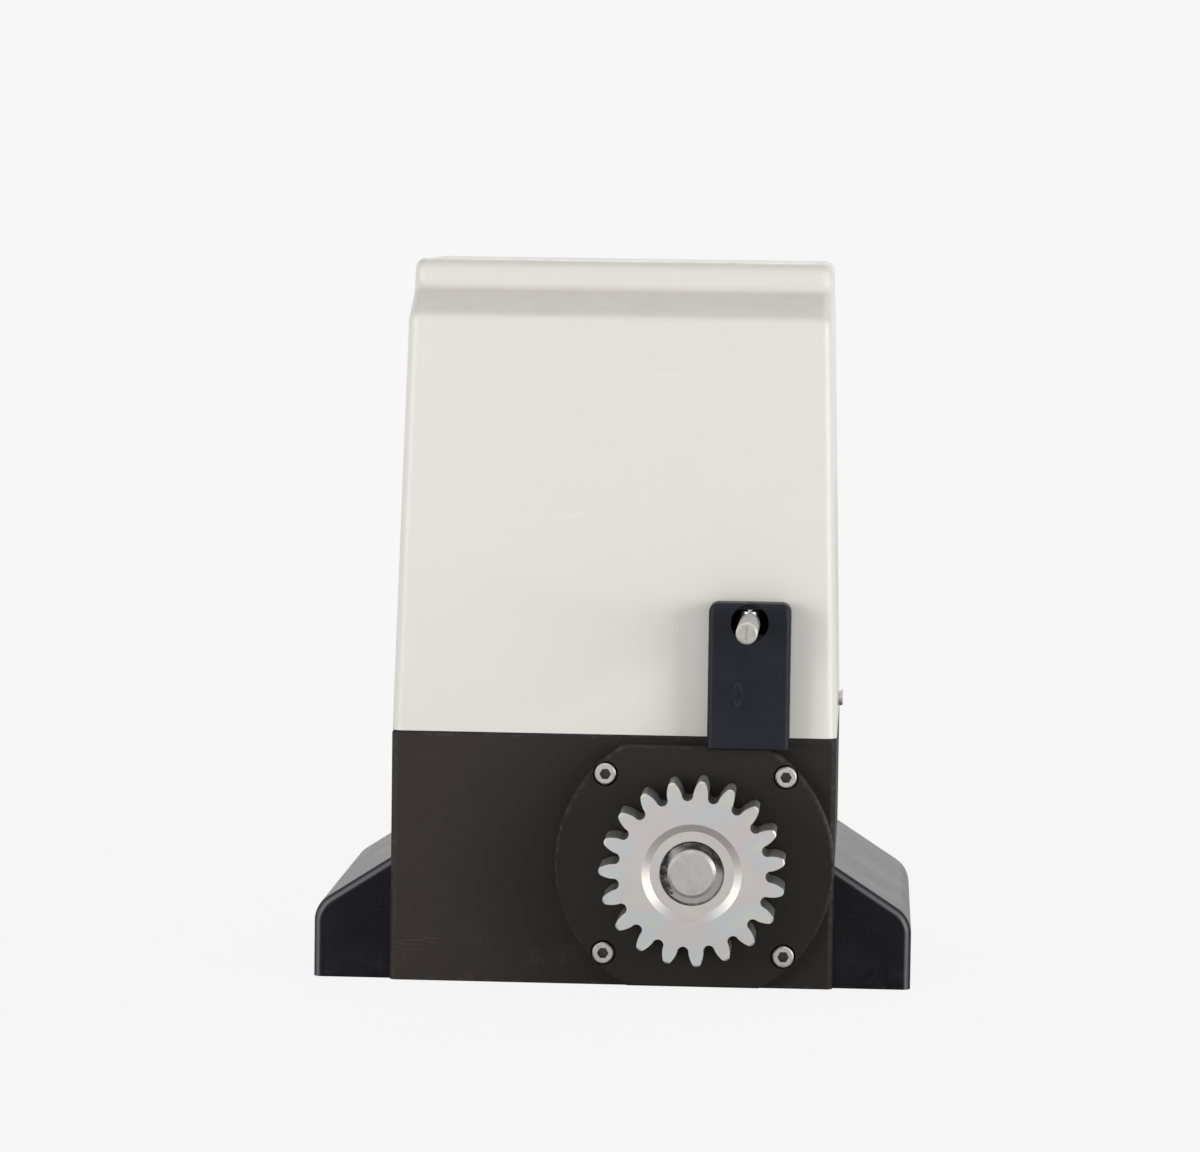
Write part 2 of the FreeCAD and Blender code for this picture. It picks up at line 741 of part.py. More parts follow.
def output_flange():
    centre = place(output_x, flange_front_y, output_z)
    disc = rod(flange_radius, centre, along_y, flange_thickness)
    window = block(output_x - flange_radius - 1, output_x + flange_radius + 1, flange_front_y - 1,
                   front_y + 1, flange_bottom_gap, switch_base_z)
    disc = disc.common(window)

    def front_rim(edge):
        return edge.BoundBox.YLength < 0.01 and abs(edge.CenterOfMass.y - flange_front_y) < 0.01

    disc = disc.makeChamfer(1.0, edges_where(disc, front_rim))
    spigot = rod(spigot_radius, place(output_x, front_y - 1, output_z), along_y, spigot_length + 1)
    flange = disc.fuse(spigot).removeSplitter()
    tools = [rod(seal_radius + seat_clearance, centre - along_y, along_y, seal_width + 1.0)]
    tools.append(rod(shaft_radius + 4.0, centre, along_y, body_depth / 2))
    tools.append(rod(output_bearing_radius + seat_clearance, place(output_x, front_bearing_y, output_z),
                     along_y, output_bearing_width + 1.0))
    for x, z in flange_screw_places():
        tools.append(rod(flange_screw_radius + 0.3, place(x, flange_front_y - 1, z), along_y,
                         flange_thickness + 2))
        tools.append(rod(flange_head_radius + 0.9, place(x, flange_front_y - 1, z), along_y,
                         flange_head_sink + 1))
    return cut_all(flange, tools)


def flange_screws():
    screws = []
    for x, z in flange_screw_places():
        start = place(x, flange_front_y + flange_head_sink - flange_head_height, z)
        screws.append(socket_screw(start, along_y, flange_head_radius, flange_head_height,
                                   flange_screw_radius, flange_screw_length - flange_head_sink))
    return Part.makeCompound(screws)


def shaft_seal():
    start = place(output_x, flange_front_y + 0.5, output_z)
    ring = tube(seal_radius, shaft_radius + running_clearance, start, along_y, seal_width - 0.5)
    groove = tube(seal_radius - 2.0, shaft_radius + 2.2, start - along_y, along_y, 2.0)
    return ring.cut(groove)


def bearing_outer(radius, bore, width, start, axis):
    inner = bore + ring_wall + running_clearance
    return tube(radius, inner, start, axis, width)


def bearing_inner(bore, width, start, axis):
    return tube(bore + ring_wall, bore + seat_clearance, start, axis, width)


def output_shaft():
    wheel_front = wheel_y - wheel_hub_width / 2
    wheel_rear = wheel_y + wheel_hub_width / 2
    collar = 5.0
    front_shoulder = front_bearing_y + output_bearing_width
    chamfer = 1.5
    origin = place(output_x, 0, output_z)
    profile = [(0, shaft_end_y), (shaft_radius - chamfer, shaft_end_y), (shaft_radius, shaft_end_y + chamfer),
               (shaft_radius, circlip_back_y - circlip_thickness),
               (shaft_radius - circlip_groove_depth, circlip_back_y - circlip_thickness),
               (shaft_radius - circlip_groove_depth, circlip_back_y), (shaft_radius, circlip_back_y),
               (shaft_radius, front_shoulder), (shaft_shoulder_radius, front_shoulder),
               (shaft_shoulder_radius, wheel_front), (wheel_seat_radius, wheel_front),
               (wheel_seat_radius, wheel_rear + collar), (shaft_shoulder_radius, wheel_rear + collar),
               (shaft_shoulder_radius, rear_bearing_y), (shaft_radius, rear_bearing_y),
               (shaft_radius, shaft_rear_y), (0, shaft_rear_y)]
    shaft = turned(profile, origin, "Y")
    pinion_key_slot = key_block(pinion_key_start(), key_length, shaft_radius, 0.02)
    wheel_key_slot = key_block(wheel_y - key_length / 2, key_length, wheel_seat_radius, 0.02)
    plunger_bore = rod(plunger_radius + running_clearance,
                       place(output_x, shaft_rear_y - plunger_engagement - plunger_travel, output_z), along_y,
                       plunger_engagement + plunger_travel + 1.0)
    return cut_all(shaft, [pinion_key_slot, wheel_key_slot, plunger_bore])


def pinion_key_start():
    return pinion_back_y - key_length - 1.0


# A parallel key with rounded ends, half sunk in a shaft of the given radius on its upper side.
def key_block(start_y, length, radius, extra):
    half = key_width / 2 + extra
    low = output_z + radius - key_height * 0.55 - extra
    high = output_z + radius + key_height * 0.45 + extra
    points = [place(output_x - half, start_y - extra, low), place(output_x + half, start_y - extra, low),
              place(output_x + half, start_y + length + extra, low),
              place(output_x - half, start_y + length + extra, low)]
    return prism(rounded_outline(points, [half * 0.98] * 4), place(0, 0, high - low))


def drive_pinion():
    tip_radius = pinion_module * (pinion_teeth + 2) / 2
    root_radius = pinion_module * (pinion_teeth - 2.5) / 2
    outline = gear_outline(output_x, pinion_front_y, output_z, pinion_module, pinion_teeth, tip_radius,
                           root_radius, pinion_phase, tooth_backlash)
    teeth = prism(outline, place(0, pinion_width, 0))
    edge = pinion_edge_chamfer
    reach = tip_radius + 5.0
    barrel = turned([(0, 0), (tip_radius - edge, 0), (tip_radius, edge), (reach, edge + 5.0 * edge),
                     (reach, pinion_width - 6.0 * edge), (tip_radius, pinion_width - edge),
                     (tip_radius - edge, pinion_width), (0, pinion_width)],
                    place(output_x, pinion_front_y, output_z), "Y")
    teeth = teeth.common(barrel)
    hub = rod(pinion_hub_radius, place(output_x, pinion_back_y, output_z), along_y, pinion_gap - 1.5)
    gear = teeth.fuse(hub).removeSplitter()
    recess = turned([(0, -1.0), (pinion_dish_radius, -1.0), (pinion_dish_radius, 0),
                     (pinion_dish_floor_radius, pinion_dish_depth),
                     (pinion_recess_radius, pinion_dish_depth),
                     (pinion_recess_radius, pinion_recess_depth), (0, pinion_recess_depth)],
                    place(output_x, pinion_front_y, output_z), "Y")
    bore = rod(shaft_radius + seat_clearance, place(output_x, pinion_front_y - 1, output_z), along_y,
               pinion_width + pinion_gap + 2)
    keyway = block(output_x - key_width / 2 - 0.02, output_x + key_width / 2 + 0.02, pinion_front_y - 1,
                   front_y, output_z, output_z + shaft_radius + key_height * 0.45 + 0.05)
    return cut_all(gear, [recess, bore, keyway])


def pinion_key():
    return key_block(pinion_key_start(), key_length, shaft_radius, 0)


def wheel_key():
    return key_block(wheel_y - key_length / 2, key_length, wheel_seat_radius, 0)


# Snap ring in the shaft groove: an open ring with an eyelet at each end of its gap.
def circlip():
    groove_radius = shaft_radius - circlip_groove_depth + 0.02
    start = place(output_x, circlip_back_y - circlip_thickness + 0.02, output_z)
    depth = circlip_thickness - 0.04
    ring = tube(circlip_outer_radius, groove_radius, start, along_y, depth)
    reach = circlip_outer_radius + 6
    half_gap = math.radians(circlip_gap_angle / 2)
    towards = math.radians(circlip_gap_direction)
    points = [start - along_y]
    for angle in (towards - half_gap, towards + half_gap):
        points.append(start - along_y + place(reach * math.cos(angle), 0, reach * math.sin(angle)))
    points.append(points[0])
    ring = ring.cut(prism(Part.makePolygon(points), along_y * (depth + 2)))
    eye_distance = pinion_recess_radius - body_clearance - eye_radius
    eyes = []
    holes = []
    for turn in (-1, 1):
        angle = towards + turn * (half_gap + math.asin(eye_radius / eye_distance) * 0.75)
        centre = start + place(eye_distance * math.cos(angle), 0, eye_distance * math.sin(angle))
        eyes.append(rod(eye_radius, centre, along_y, depth))
        holes.append(rod(eye_radius / 2, centre - along_y, along_y, depth + 2))
    eyes_clear = rod(groove_radius, start - along_y, along_y, depth + 2)
    return cut_all(fuse_all([ring] + eyes), holes + [eyes_clear])


# --- Worm and wheel ----------------------------------------------------------------------

def worm_wheel():
    tip_radius = wheel_pitch_radius + worm_module
    root_radius = wheel_pitch_radius - 1.2 * worm_module
    lead_slope = worm_module / (2 * worm_pitch_radius)
    outlines = []
    for step in (-1, 1):
        y = wheel_y + step * wheel_width / 2
        twist = -step * (wheel_width / 2) * lead_slope / wheel_pitch_radius
        outlines.append(gear_outline(output_x, y, output_z, worm_module, wheel_teeth, tip_radius, root_radius,
                                     180.0 + math.degrees(twist), tooth_backlash))
    rim = Part.makeLoft(outlines, True, True)
    web_radius = root_radius - wheel_rim_wall
    hollow = []
    for step in (-1, 1):
        start_y = wheel_y + step * wheel_web / 2
        depth = wheel_width
        begin = start_y if step > 0 else start_y - depth
        hollow.append(tube(web_radius, wheel_hub_radius, place(output_x, begin, output_z), along_y, depth))
    gear = cut_all(rim, hollow)
    hub = rod(wheel_hub_radius, place(output_x, wheel_y - wheel_hub_width / 2, output_z), along_y,
              wheel_hub_width)
    gear = gear.fuse(hub).removeSplitter()
    bore = rod(wheel_seat_radius + seat_clearance, place(output_x, wheel_y - wheel_hub_width, output_z),
               along_y, 2 * wheel_hub_width)
    keyway = block(output_x - key_width / 2 - 0.02, output_x + key_width / 2 + 0.02,
                   wheel_y - wheel_hub_width, wheel_y + wheel_hub_width, output_z,
                   output_z + wheel_seat_radius + key_height * 0.45 + 0.05)
    return cut_all(gear, [bore, keyway])


# The thread is one trapezoidal section swept along a right-hand helix. Its gap faces the
# wheel's tooth at the height of the output axis.
def worm_thread(root_radius):
    pitch = math.pi * worm_module
    tip_radius = worm_pitch_radius + worm_module
    flank = math.tan(math.radians(pressure_angle))
    half_pitch_line = pitch / 4 - tooth_backlash / 2

    def half_at(radius):
        return half_pitch_line - (radius - worm_pitch_radius) * flank

    turns = math.floor(worm_length / pitch)
    low = output_z + pitch / 2 - pitch * math.ceil(turns / 2)
    sunk = root_radius - 0.8
    axis_x = worm_x
    points = [place(axis_x + sunk, wheel_y, low - half_at(root_radius)),
              place(axis_x + root_radius, wheel_y, low - half_at(root_radius)),
              place(axis_x + tip_radius, wheel_y, low - half_at(tip_radius)),
              place(axis_x + tip_radius, wheel_y, low + half_at(tip_radius)),
              place(axis_x + root_radius, wheel_y, low + half_at(root_radius)),
              place(axis_x + sunk, wheel_y, low + half_at(root_radius))]
    section = Part.makePolygon(points + [points[0]])
    helix = Part.makeHelix(pitch, pitch * (turns - 1), worm_pitch_radius)
    helix.translate(place(axis_x, wheel_y, low))
    return Part.Wire(helix.Edges).makePipeShell([section], True, True)


def motor_shaft():
    root_radius = worm_pitch_radius - 1.2 * worm_module
    worm_low = output_z - worm_length / 2
    worm_high = output_z + worm_length / 2
    origin = place(worm_x, wheel_y, 0)
    rotor_radius = 10.0
    shaft_low = floor_bearing_z
    profile = [(0, shaft_low), (floor_bearing_bore, shaft_low),
               (floor_bearing_bore, floor_bearing_z + floor_bearing_width),
               (root_radius, floor_bearing_z + floor_bearing_width), (root_radius, worm_high + 4.0),
               (lid_bearing_bore + 3.0, worm_high + 4.0), (lid_bearing_bore + 3.0, lid_bearing_z),
               (lid_bearing_bore, lid_bearing_z), (lid_bearing_bore, motor_base_z + 4.0),
               (rotor_radius, motor_base_z + 4.0), (rotor_radius, motor_top_z - top_bearing_width - 3.0),
               (top_bearing_bore, motor_top_z - top_bearing_width - 3.0),
               (top_bearing_bore, motor_top_z - 1.5),
               (0, motor_top_z - 1.5)]
    shaft = turned(profile, origin, "Z")
    return shaft.fuse(worm_thread(root_radius))


# --- Motor -------------------------------------------------------------------------------

def motor_bolt_places():
    reach = motor_radius + motor_bolt_radius + 1.5
    return [(worm_x + reach * math.cos(math.radians(angle)), wheel_y + reach * math.sin(math.radians(angle)))
            for angle in (45, 135, 225, 315)]


def motor_rotor():
    radius = stator_bore - rotor_gap
    start_z = stack_z - rotor_end_ring
    core = rod(radius, place(worm_x, wheel_y, stack_z), along_z, stack_height)
    rings = [rod(radius - 2.0, place(worm_x, wheel_y, start_z), along_z, rotor_end_ring),
             rod(radius - 2.0, place(worm_x, wheel_y, stack_z + stack_height), along_z, rotor_end_ring)]
    bore = rod(10.0 + seat_clearance, place(worm_x, wheel_y, start_z - 1), along_z,
               stack_height + 2 * rotor_end_ring + 2)
    relief = [tube(radius - 8.0, 13.0, place(worm_x, wheel_y, start_z - 1), along_z, rotor_end_ring),
              tube(radius - 8.0, 13.0, place(worm_x, wheel_y, stack_z + stack_height + 1.0), along_z,
                   rotor_end_ring)]
    return cut_all(fuse_all([core] + rings), [bore] + relief)


def stator_stack():
    stack = rod(motor_radius, place(worm_x, wheel_y, stack_z), along_z, stack_height)
    tools = [rod(stator_bore, place(worm_x, wheel_y, stack_z - 1), along_z, stack_height + 2)]
    for step in range(stator_slots):
        tool = centred_block(stator_bore + slot_depth / 2 + 1.0, 0, slot_depth, slot_opening, stack_z - 1,
                             stack_z + stack_height + 1)
        tool = tool.fuse(centred_block(stator_bore, 0, 4.0, 2.0, stack_z - 1, stack_z + stack_height + 1))
        tool.rotate(place(0, 0, 0), along_z, 360 * (step + 0.5) / stator_slots)
        tool.translate(place(worm_x, wheel_y, 0))
        tools.append(tool)
    return cut_all(stack, tools)


def stator_windings():
    heads = []
    inner = stator_bore + 2.5
    outer = stator_bore + slot_depth + 2.0
    for z, height in ((stack_z - winding_height, winding_height), (stack_z + stack_height, winding_height)):
        head = tube(outer, inner, place(worm_x, wheel_y, z), along_z, height)
        rims = edges_where(head, lambda edge: edge.BoundBox.ZLength < 0.01)
        heads.append(head.makeChamfer(3.0, rims))
    return Part.makeCompound(heads)


# A cup-shaped end casting with a bolt lug at each quarter.
def motor_bell(low_z, closed_z, opening_radius):
    cup = rod(motor_radius, place(worm_x, wheel_y, low_z), along_z, bell_height)
    lugs = [rod(motor_bolt_radius + 3.0, place(x, y, low_z), along_z, bell_height)
            for x, y in motor_bolt_places()]
    body = fuse_all([cup] + lugs)
    hollow_z = low_z + bell_wall if closed_z == low_z else low_z
    hollow = rod(motor_radius - bell_wall, place(worm_x, wheel_y, hollow_z), along_z, bell_height - bell_wall)
    tools = [hollow, rod(opening_radius, place(worm_x, wheel_y, low_z - 1), along_z, bell_height + 2)]
    for x, y in motor_bolt_places():
        tools.append(rod(motor_bolt_radius + 0.2, place(x, y, low_z - 1), along_z, bell_height + 2))
    return body, tools


def motor_lower_bell():
    body, tools = motor_bell(motor_base_z, motor_base_z, lid_bearing_bore + 6.0)
    return cut_all(body, tools)


def motor_upper_bell():
    closed_z = motor_top_z
    body, tools = motor_bell(upper_bell_z, closed_z, top_bearing_bore + 3.0)
    seat = rod(top_bearing_radius + 4.0, place(worm_x, wheel_y, motor_top_z - top_bearing_width - 1.5),
               along_z, top_bearing_width + 1.5)
    body = cut_all(body, tools[:1]).fuse(seat).removeSplitter()
    bore = rod(top_bearing_radius + seat_clearance,
               place(worm_x, wheel_y, motor_top_z - top_bearing_width - 2.5), along_z,
               top_bearing_width + 1.0)
    return cut_all(body, tools[1:] + [bore])


def motor_bolts():
    bolts = []
    head_height = 5.0
    length = motor_top_z - motor_base_z + 4.0
    for x, y in motor_bolt_places():
        bolts.append(socket_screw(place(x, y, motor_top_z + head_height), along_z * -1, motor_bolt_head,
                                  head_height, motor_bolt_radius, length - 4.0))
    return Part.makeCompound(bolts)


# --- Controls ----------------------------------------------------------------------------

def capacitor():
    can = rod(capacitor_radius, place(capacitor_x, capacitor_y, lid_top), along_z, capacitor_height)
    rims = edges_where(can, lambda edge: edge.BoundBox.ZLength < 0.01 and edge.CenterOfMass.z > lid_top + 1)
    can = can.makeChamfer(1.5, rims)
    tabs = [centred_block(capacitor_x + side * 7.0, capacitor_y, 0.8, 6.3, lid_top + capacitor_height - 0.5,
                          lid_top + capacitor_height + 8.0) for side in (-1, 1)]
    return fuse_all([can] + tabs)


def capacitor_clamp():
    low = lid_top + capacitor_height * 0.35
    band = tube(capacitor_radius + 1.4, capacitor_radius, place(capacitor_x, capacitor_y, low), along_z, 12.0)
    leg_y = capacitor_y + capacitor_radius
    leg = block(capacitor_x - 6.0, capacitor_x + 6.0, leg_y + 0.2, leg_y + 2.4, lid_top, low + 12.0)
    foot = block(capacitor_x - 6.0, capacitor_x + 6.0, leg_y + 0.2, leg_y + 12.0, lid_top, lid_top + 2.0)
    return fuse_all([band, leg, foot])


def board_bracket():
    half = board_width / 2
    top = lid_top + board_lift + board_height
    plate = block(-half, half, bracket_y - bracket_thickness, bracket_y, lid_top, top)
    foot = block(-half + bracket_foot_inset, half, bracket_y - bracket_foot, bracket_y, lid_top,
                 lid_top + bracket_thickness)
    window = block(-half + bracket_border, half - bracket_border, bracket_y - bracket_thickness - 1,
                   bracket_y + 1, lid_top + board_lift + bracket_border, top - bracket_border)
    return fuse_all([plate, foot]).cut(window)


def board_corners():
    middle = lid_top + board_lift + board_height / 2
    return corners(0, middle, board_width - 2 * standoff_inset, board_height - 2 * standoff_inset)


def board_standoffs():
    start_y = bracket_y - bracket_thickness - board_gap
    return Part.makeCompound([rod(standoff_radius, place(x, start_y, z), along_y, board_gap)
                              for x, z in board_corners()])


def board_front():
    return bracket_y - bracket_thickness - board_gap - board_thickness


def control_board():
    half = board_width / 2
    low = lid_top + board_lift
    board = block(-half, half, board_front(), board_front() + board_thickness, low, low + board_height)
    holes = [rod(standoff_hole_radius, place(x, board_front() - 1, z), along_y, board_thickness + 2)
             for x, z in board_corners()]
    return cut_all(board, holes)


def on_board(x, z, width, depth, height):
    low = lid_top + board_lift
    return block(x - width / 2, x + width / 2, board_front() - depth, board_front(), low + z,
                 low + z + height)


def relays():
    return Part.makeCompound([on_board(-board_width * 0.3 + step * (relay_side + relay_gap),
                                       board_height * 0.62, relay_side, relay_side, relay_side)
                              for step in range(3)])


def terminal_blocks():
    strips = []
    for step in range(3):
        x = -board_width * 0.29 + step * board_width * 0.29
        strip = on_board(x, terminal_rise, board_width * 0.26, terminal_depth, terminal_height)
        entries = [on_board(x - board_width * 0.11 + way * board_width * 0.044, terminal_rise + 1.5,
                            terminal_entry, terminal_depth + 1.0, terminal_entry + 1.0)
                   for way in range(6)]
        strips.append(cut_all(strip, entries).common(strip))
    return Part.makeCompound(strips)


def transformer():
    x = board_width * 0.3
    low = board_height * 0.5
    core = on_board(x, low, transformer_width, transformer_core_depth, transformer_height)
    coil = on_board(x, low + transformer_height / 6, transformer_coil_width, transformer_coil_depth,
                    transformer_height * 2 / 3)
    return core.fuse(coil).removeSplitter()


def cable_grommet():
    origin = place(duct_x, duct_y, ledge_z)
    outer = grommet_radius + grommet_wall
    profile = [(grommet_radius, 0), (outer, 0), (outer, lid_thickness), (outer + grommet_lip, lid_thickness),
               (outer + grommet_lip - 1.5, lid_thickness + 3.0), (grommet_radius, lid_thickness + 3.0)]
    return turned(profile, origin, "Z")


# --- Limit switch ------------------------------------------------------------------------

def limit_case():
    half = switch_width / 2
    top = switch_top_z
    points = [place(switch_x - half, switch_front_y, switch_base_z),
              place(switch_x + half, switch_front_y, switch_base_z),
              place(switch_x + half, switch_front_y, top), place(switch_x - half, switch_front_y, top)]
    plate = prism(rounded_outline(points, [0, 0, switch_corner_radius, switch_corner_radius]),
                  place(0, switch_front, 0))

    def front_rim(edge):
        return edge.BoundBox.YLength < 0.01 and abs(edge.CenterOfMass.y - switch_front_y) < 0.01 \
            and edge.CenterOfMass.z > switch_base_z + 1

    plate = plate.makeFillet(switch_edge_radius, edges_where(plate, front_rim))
    inset = switch_side_inset
    back_y = front_y + switch_back
    rear = block(switch_x - half + inset, switch_x + half - inset, front_y - 1, back_y, base_height,
                 top - inset)
    foot = block(switch_x - half + inset, switch_x + half - inset, -inner_y + part_clearance, back_y, lid_top,
                 base_height + 1)
    case = fuse_all([plate, rear, foot])
    wall = switch_wall
    cavity = block(switch_x - half + inset + wall, switch_x + half - inset - wall, switch_front_y + wall,
                   back_y + 1, base_height + wall, top - inset - 1.0)
    collar = rod(collar_radius, place(switch_x, switch_front_y - 1, spring_z), along_y, wall + 2)
    pin = rod(lever_pin_radius + seat_clearance, place(switch_x, lever_pivot_y,
              spring_z - lever_hub_height / 2 - 4.0), along_z, lever_hub_height + 8.0)
    seat = centred_block(switch_x, lever_pivot_y + 1.0, 2 * (half - inset), 6.0,
                         spring_z - lever_hub_height / 2 - 4.0, spring_z - lever_hub_height / 2 - 0.5)
    seat = seat.common(cavity)
    return cut_all(case, [cavity, collar, mould_mark()]).fuse(seat).removeSplitter().cut(pin)


# The shallow upright oval left by the moulding gate on the front of the case.
def mould_mark():
    x = switch_x + mark_offset
    y = switch_front_y - 1.0
    z = switch_top_z - mark_drop
    straight = mark_height - mark_width
    middle = centred_block(x, y + (1.0 + mark_depth) / 2, mark_width, 1.0 + mark_depth, z - straight / 2,
                           z + straight / 2)
    ends = [rod(mark_width / 2, place(x, y, z + side * straight / 2), along_y, 1.0 + mark_depth)
            for side in (-1, 1)]
    return fuse_all([middle] + ends)


def limit_case_back():
    half = switch_width / 2 - switch_side_inset
    back_y = front_y + switch_back
    top = switch_top_z - switch_side_inset
    return block(switch_x - half, switch_x + half, back_y, back_y + 2.0, lid_top, top)


def limit_pin():
    low = spring_z - lever_hub_height / 2 - 4.0
    return rod(lever_pin_radius, place(switch_x, lever_pivot_y, low), along_z, lever_hub_height + 7.0)


def limit_lever():
    low = spring_z - lever_hub_height / 2
    hub = rod(lever_hub_radius, place(switch_x, lever_pivot_y, low), along_z, lever_hub_height)
    stub_radius = spring_radius - spring_wire
    stub = rod(stub_radius, place(switch_x, switch_front_y - 9.0, spring_z), along_y,
               9.0 + lever_pivot_depth)
    finger = centred_block(switch_x, lever_pivot_y + lever_finger_length / 2, 3.0, lever_finger_length,
                           spring_z - 2.5, spring_z + 2.5)
    bore = rod(lever_pin_radius + running_clearance, place(switch_x, lever_pivot_y, low - 1), along_z,
               lever_hub_height + 2)
    return fuse_all([hub, stub, finger]).cut(bore)


def spring_start():
    return switch_front_y - 1.0


def limit_spring():
    return tube(spring_radius, spring_radius - spring_wire + 0.02,
                place(switch_x, spring_start() - spring_length, spring_z), along_y, spring_length)


def spring_tip():
    start = place(switch_x, spring_start() - spring_length, spring_z)
    radius = spring_radius
    bevel = tip_bevel
    cap = turned([(0, tip_plug), (radius - spring_wire, tip_plug), (radius - spring_wire, 0), (radius, 0),
                  (radius, bevel - spring_tip_length), (radius - bevel, -spring_tip_length),
                  (0, -spring_tip_length)], start, "Y")
    slit = centred_block(switch_x, start.y - spring_tip_length, tip_slot_width, 2 * tip_slot_depth,
                         spring_z - tip_slot_reach, spring_z + tip_slot_reach)
    return cap.cut(slit)


def microswitches():
    inside = switch_width / 2 - switch_side_inset - switch_wall
    thickness = 4.6
    switches = []
    for side in (-1, 1):
        centre_x = switch_x + side * (inside - thickness / 2)
        y = lever_pivot_y + lever_finger_length + 1.0
        switches.append(centred_block(centre_x, y, thickness, 13.0, spring_z - 14.0, spring_z + 5.0))
    return Part.makeCompound(switches)


# --- Manual release ------------------------------------------------------------------------

def release_bezel():
    left = release_x - release_length + release_thickness / 2 - bezel_margin
    right = release_x + release_thickness / 2 + bezel_margin
    half = release_height / 2 + release_ear_wall + body_clearance + 2.0
    points = [place(left, rear_y, output_z - half), place(right, rear_y, output_z - half),
              place(right, rear_y, output_z + half), place(left, rear_y, output_z + half)]
    plate = prism(rounded_outline(points, [6.0] * 4), place(0, bezel_thickness, 0))
    pieces = [plate]
    ear_reach_y = release_y - rear_y
    for side in (-1, 1):
        z0, z1 = sorted((output_z + side * (release_height / 2 + body_clearance),
                         output_z + side * (release_height / 2 + body_clearance + release_ear_wall)))
        pieces.append(block(release_x - 6.0, release_x + 6.0, rear_y + 1, rear_y + ear_reach_y, z0, z1))
        pieces.append(rod(6.0, place(release_x, release_y, z0), along_z, z1 - z0))
    tools = [rod(release_pin_radius + seat_clearance, place(release_x, release_y, output_z - half - 1),
                 along_z, 2 * half + 2)]
    tools.append(rod(plunger_radius + 0.5, place(output_x, rear_y - 1, output_z), along_y,
                     bezel_thickness + 2))
    for x, z in bezel_screw_places():
        tools.append(rod(2.2, place(x, rear_y - 1, z), along_y, bezel_thickness + 2))
    return cut_all(fuse_all(pieces), tools)


def bezel_screws():
    screws = []
    for x, z in bezel_screw_places():
        start = place(x, bezel_front_y + bezel_head_height, z)
        screws.append(socket_screw(start, along_y * -1, bezel_head_radius, bezel_head_height,
                                   bezel_screw_radius, bezel_screw_length))
    return Part.makeCompound(screws)


def release_pin():
    half = release_height / 2 + release_ear_wall + body_clearance
    return rod(release_pin_radius, place(release_x, release_y, output_z - half), along_z, 2 * half)


def lock_place():
    return release_x - release_length + release_thickness / 2 + lock_inset


def release_lever():
    half = release_thickness / 2
    left = release_x - release_length + half
    points = [place(left, release_y - half, output_z - release_height / 2),
              place(release_x + half, release_y - half, output_z - release_height / 2),
              place(release_x + half, release_y + half, output_z - release_height / 2),
              place(left, release_y + half, output_z - release_height / 2)]
    lever = prism(rounded_outline(points, [2.0, half * 0.98, half * 0.98, 4.0]),
                  place(0, 0, release_height))
    tools = [rod(release_pin_radius + running_clearance, place(release_x, release_y, 0), along_z,
                 base_height)]
    tools.append(rod(lock_radius + running_clearance, place(lock_place(), rear_y, output_z), along_y,
                     3 * release_thickness))
    for step in range(5):
        x = left + lock_inset + lock_flange_radius + 8.0 + step * 4.0
        tools.append(block(x, x + 2.0, release_y + half - 1.0, release_y + half + 1,
                           output_z - release_height / 2 - 1, output_z + release_height / 2 + 1))
    return cut_all(lever, tools)


def lock_barrel():
    outside = release_y + release_thickness / 2
    inside = release_y - release_thickness / 2
    barrel = rod(lock_radius, place(lock_place(), inside, output_z), along_y, release_thickness)
    face = rod(lock_flange_radius, place(lock_place(), outside + 0.1, output_z), along_y, 1.6)
    neck = rod(lock_radius, place(lock_place(), outside - 0.5, output_z), along_y, 1.0)
    slot = centred_block(lock_place(), outside, 1.4, 12.0, output_z - 4.0, output_z + 4.0)
    return fuse_all([barrel, neck, face]).cut(slot)


def release_plunger():
    start_y = shaft_rear_y - plunger_engagement
    end_y = bezel_front_y + bezel_gap - body_clearance
    pin = rod(plunger_radius, place(output_x, start_y, output_z), along_y, end_y - start_y)
    rims = edges_where(pin, lambda edge: edge.BoundBox.YLength < 0.01)
    return pin.makeChamfer(0.8, rims)


# --- Assembly ----------------------------------------------------------------------------

def output_bearing(start_y, ring):
    start = place(output_x, start_y, output_z)
    if ring == "outer":
        return bearing_outer(output_bearing_radius, shaft_radius, output_bearing_width, start, along_y)
    return bearing_inner(shaft_radius, output_bearing_width, start, along_y)


def upright_bearing(radius, bore, width, low_z, ring):
    start = place(worm_x, wheel_y, low_z)
    if ring == "outer":
        return bearing_outer(radius, bore, width, start, along_z)
    return bearing_inner(bore, width, start, along_z)


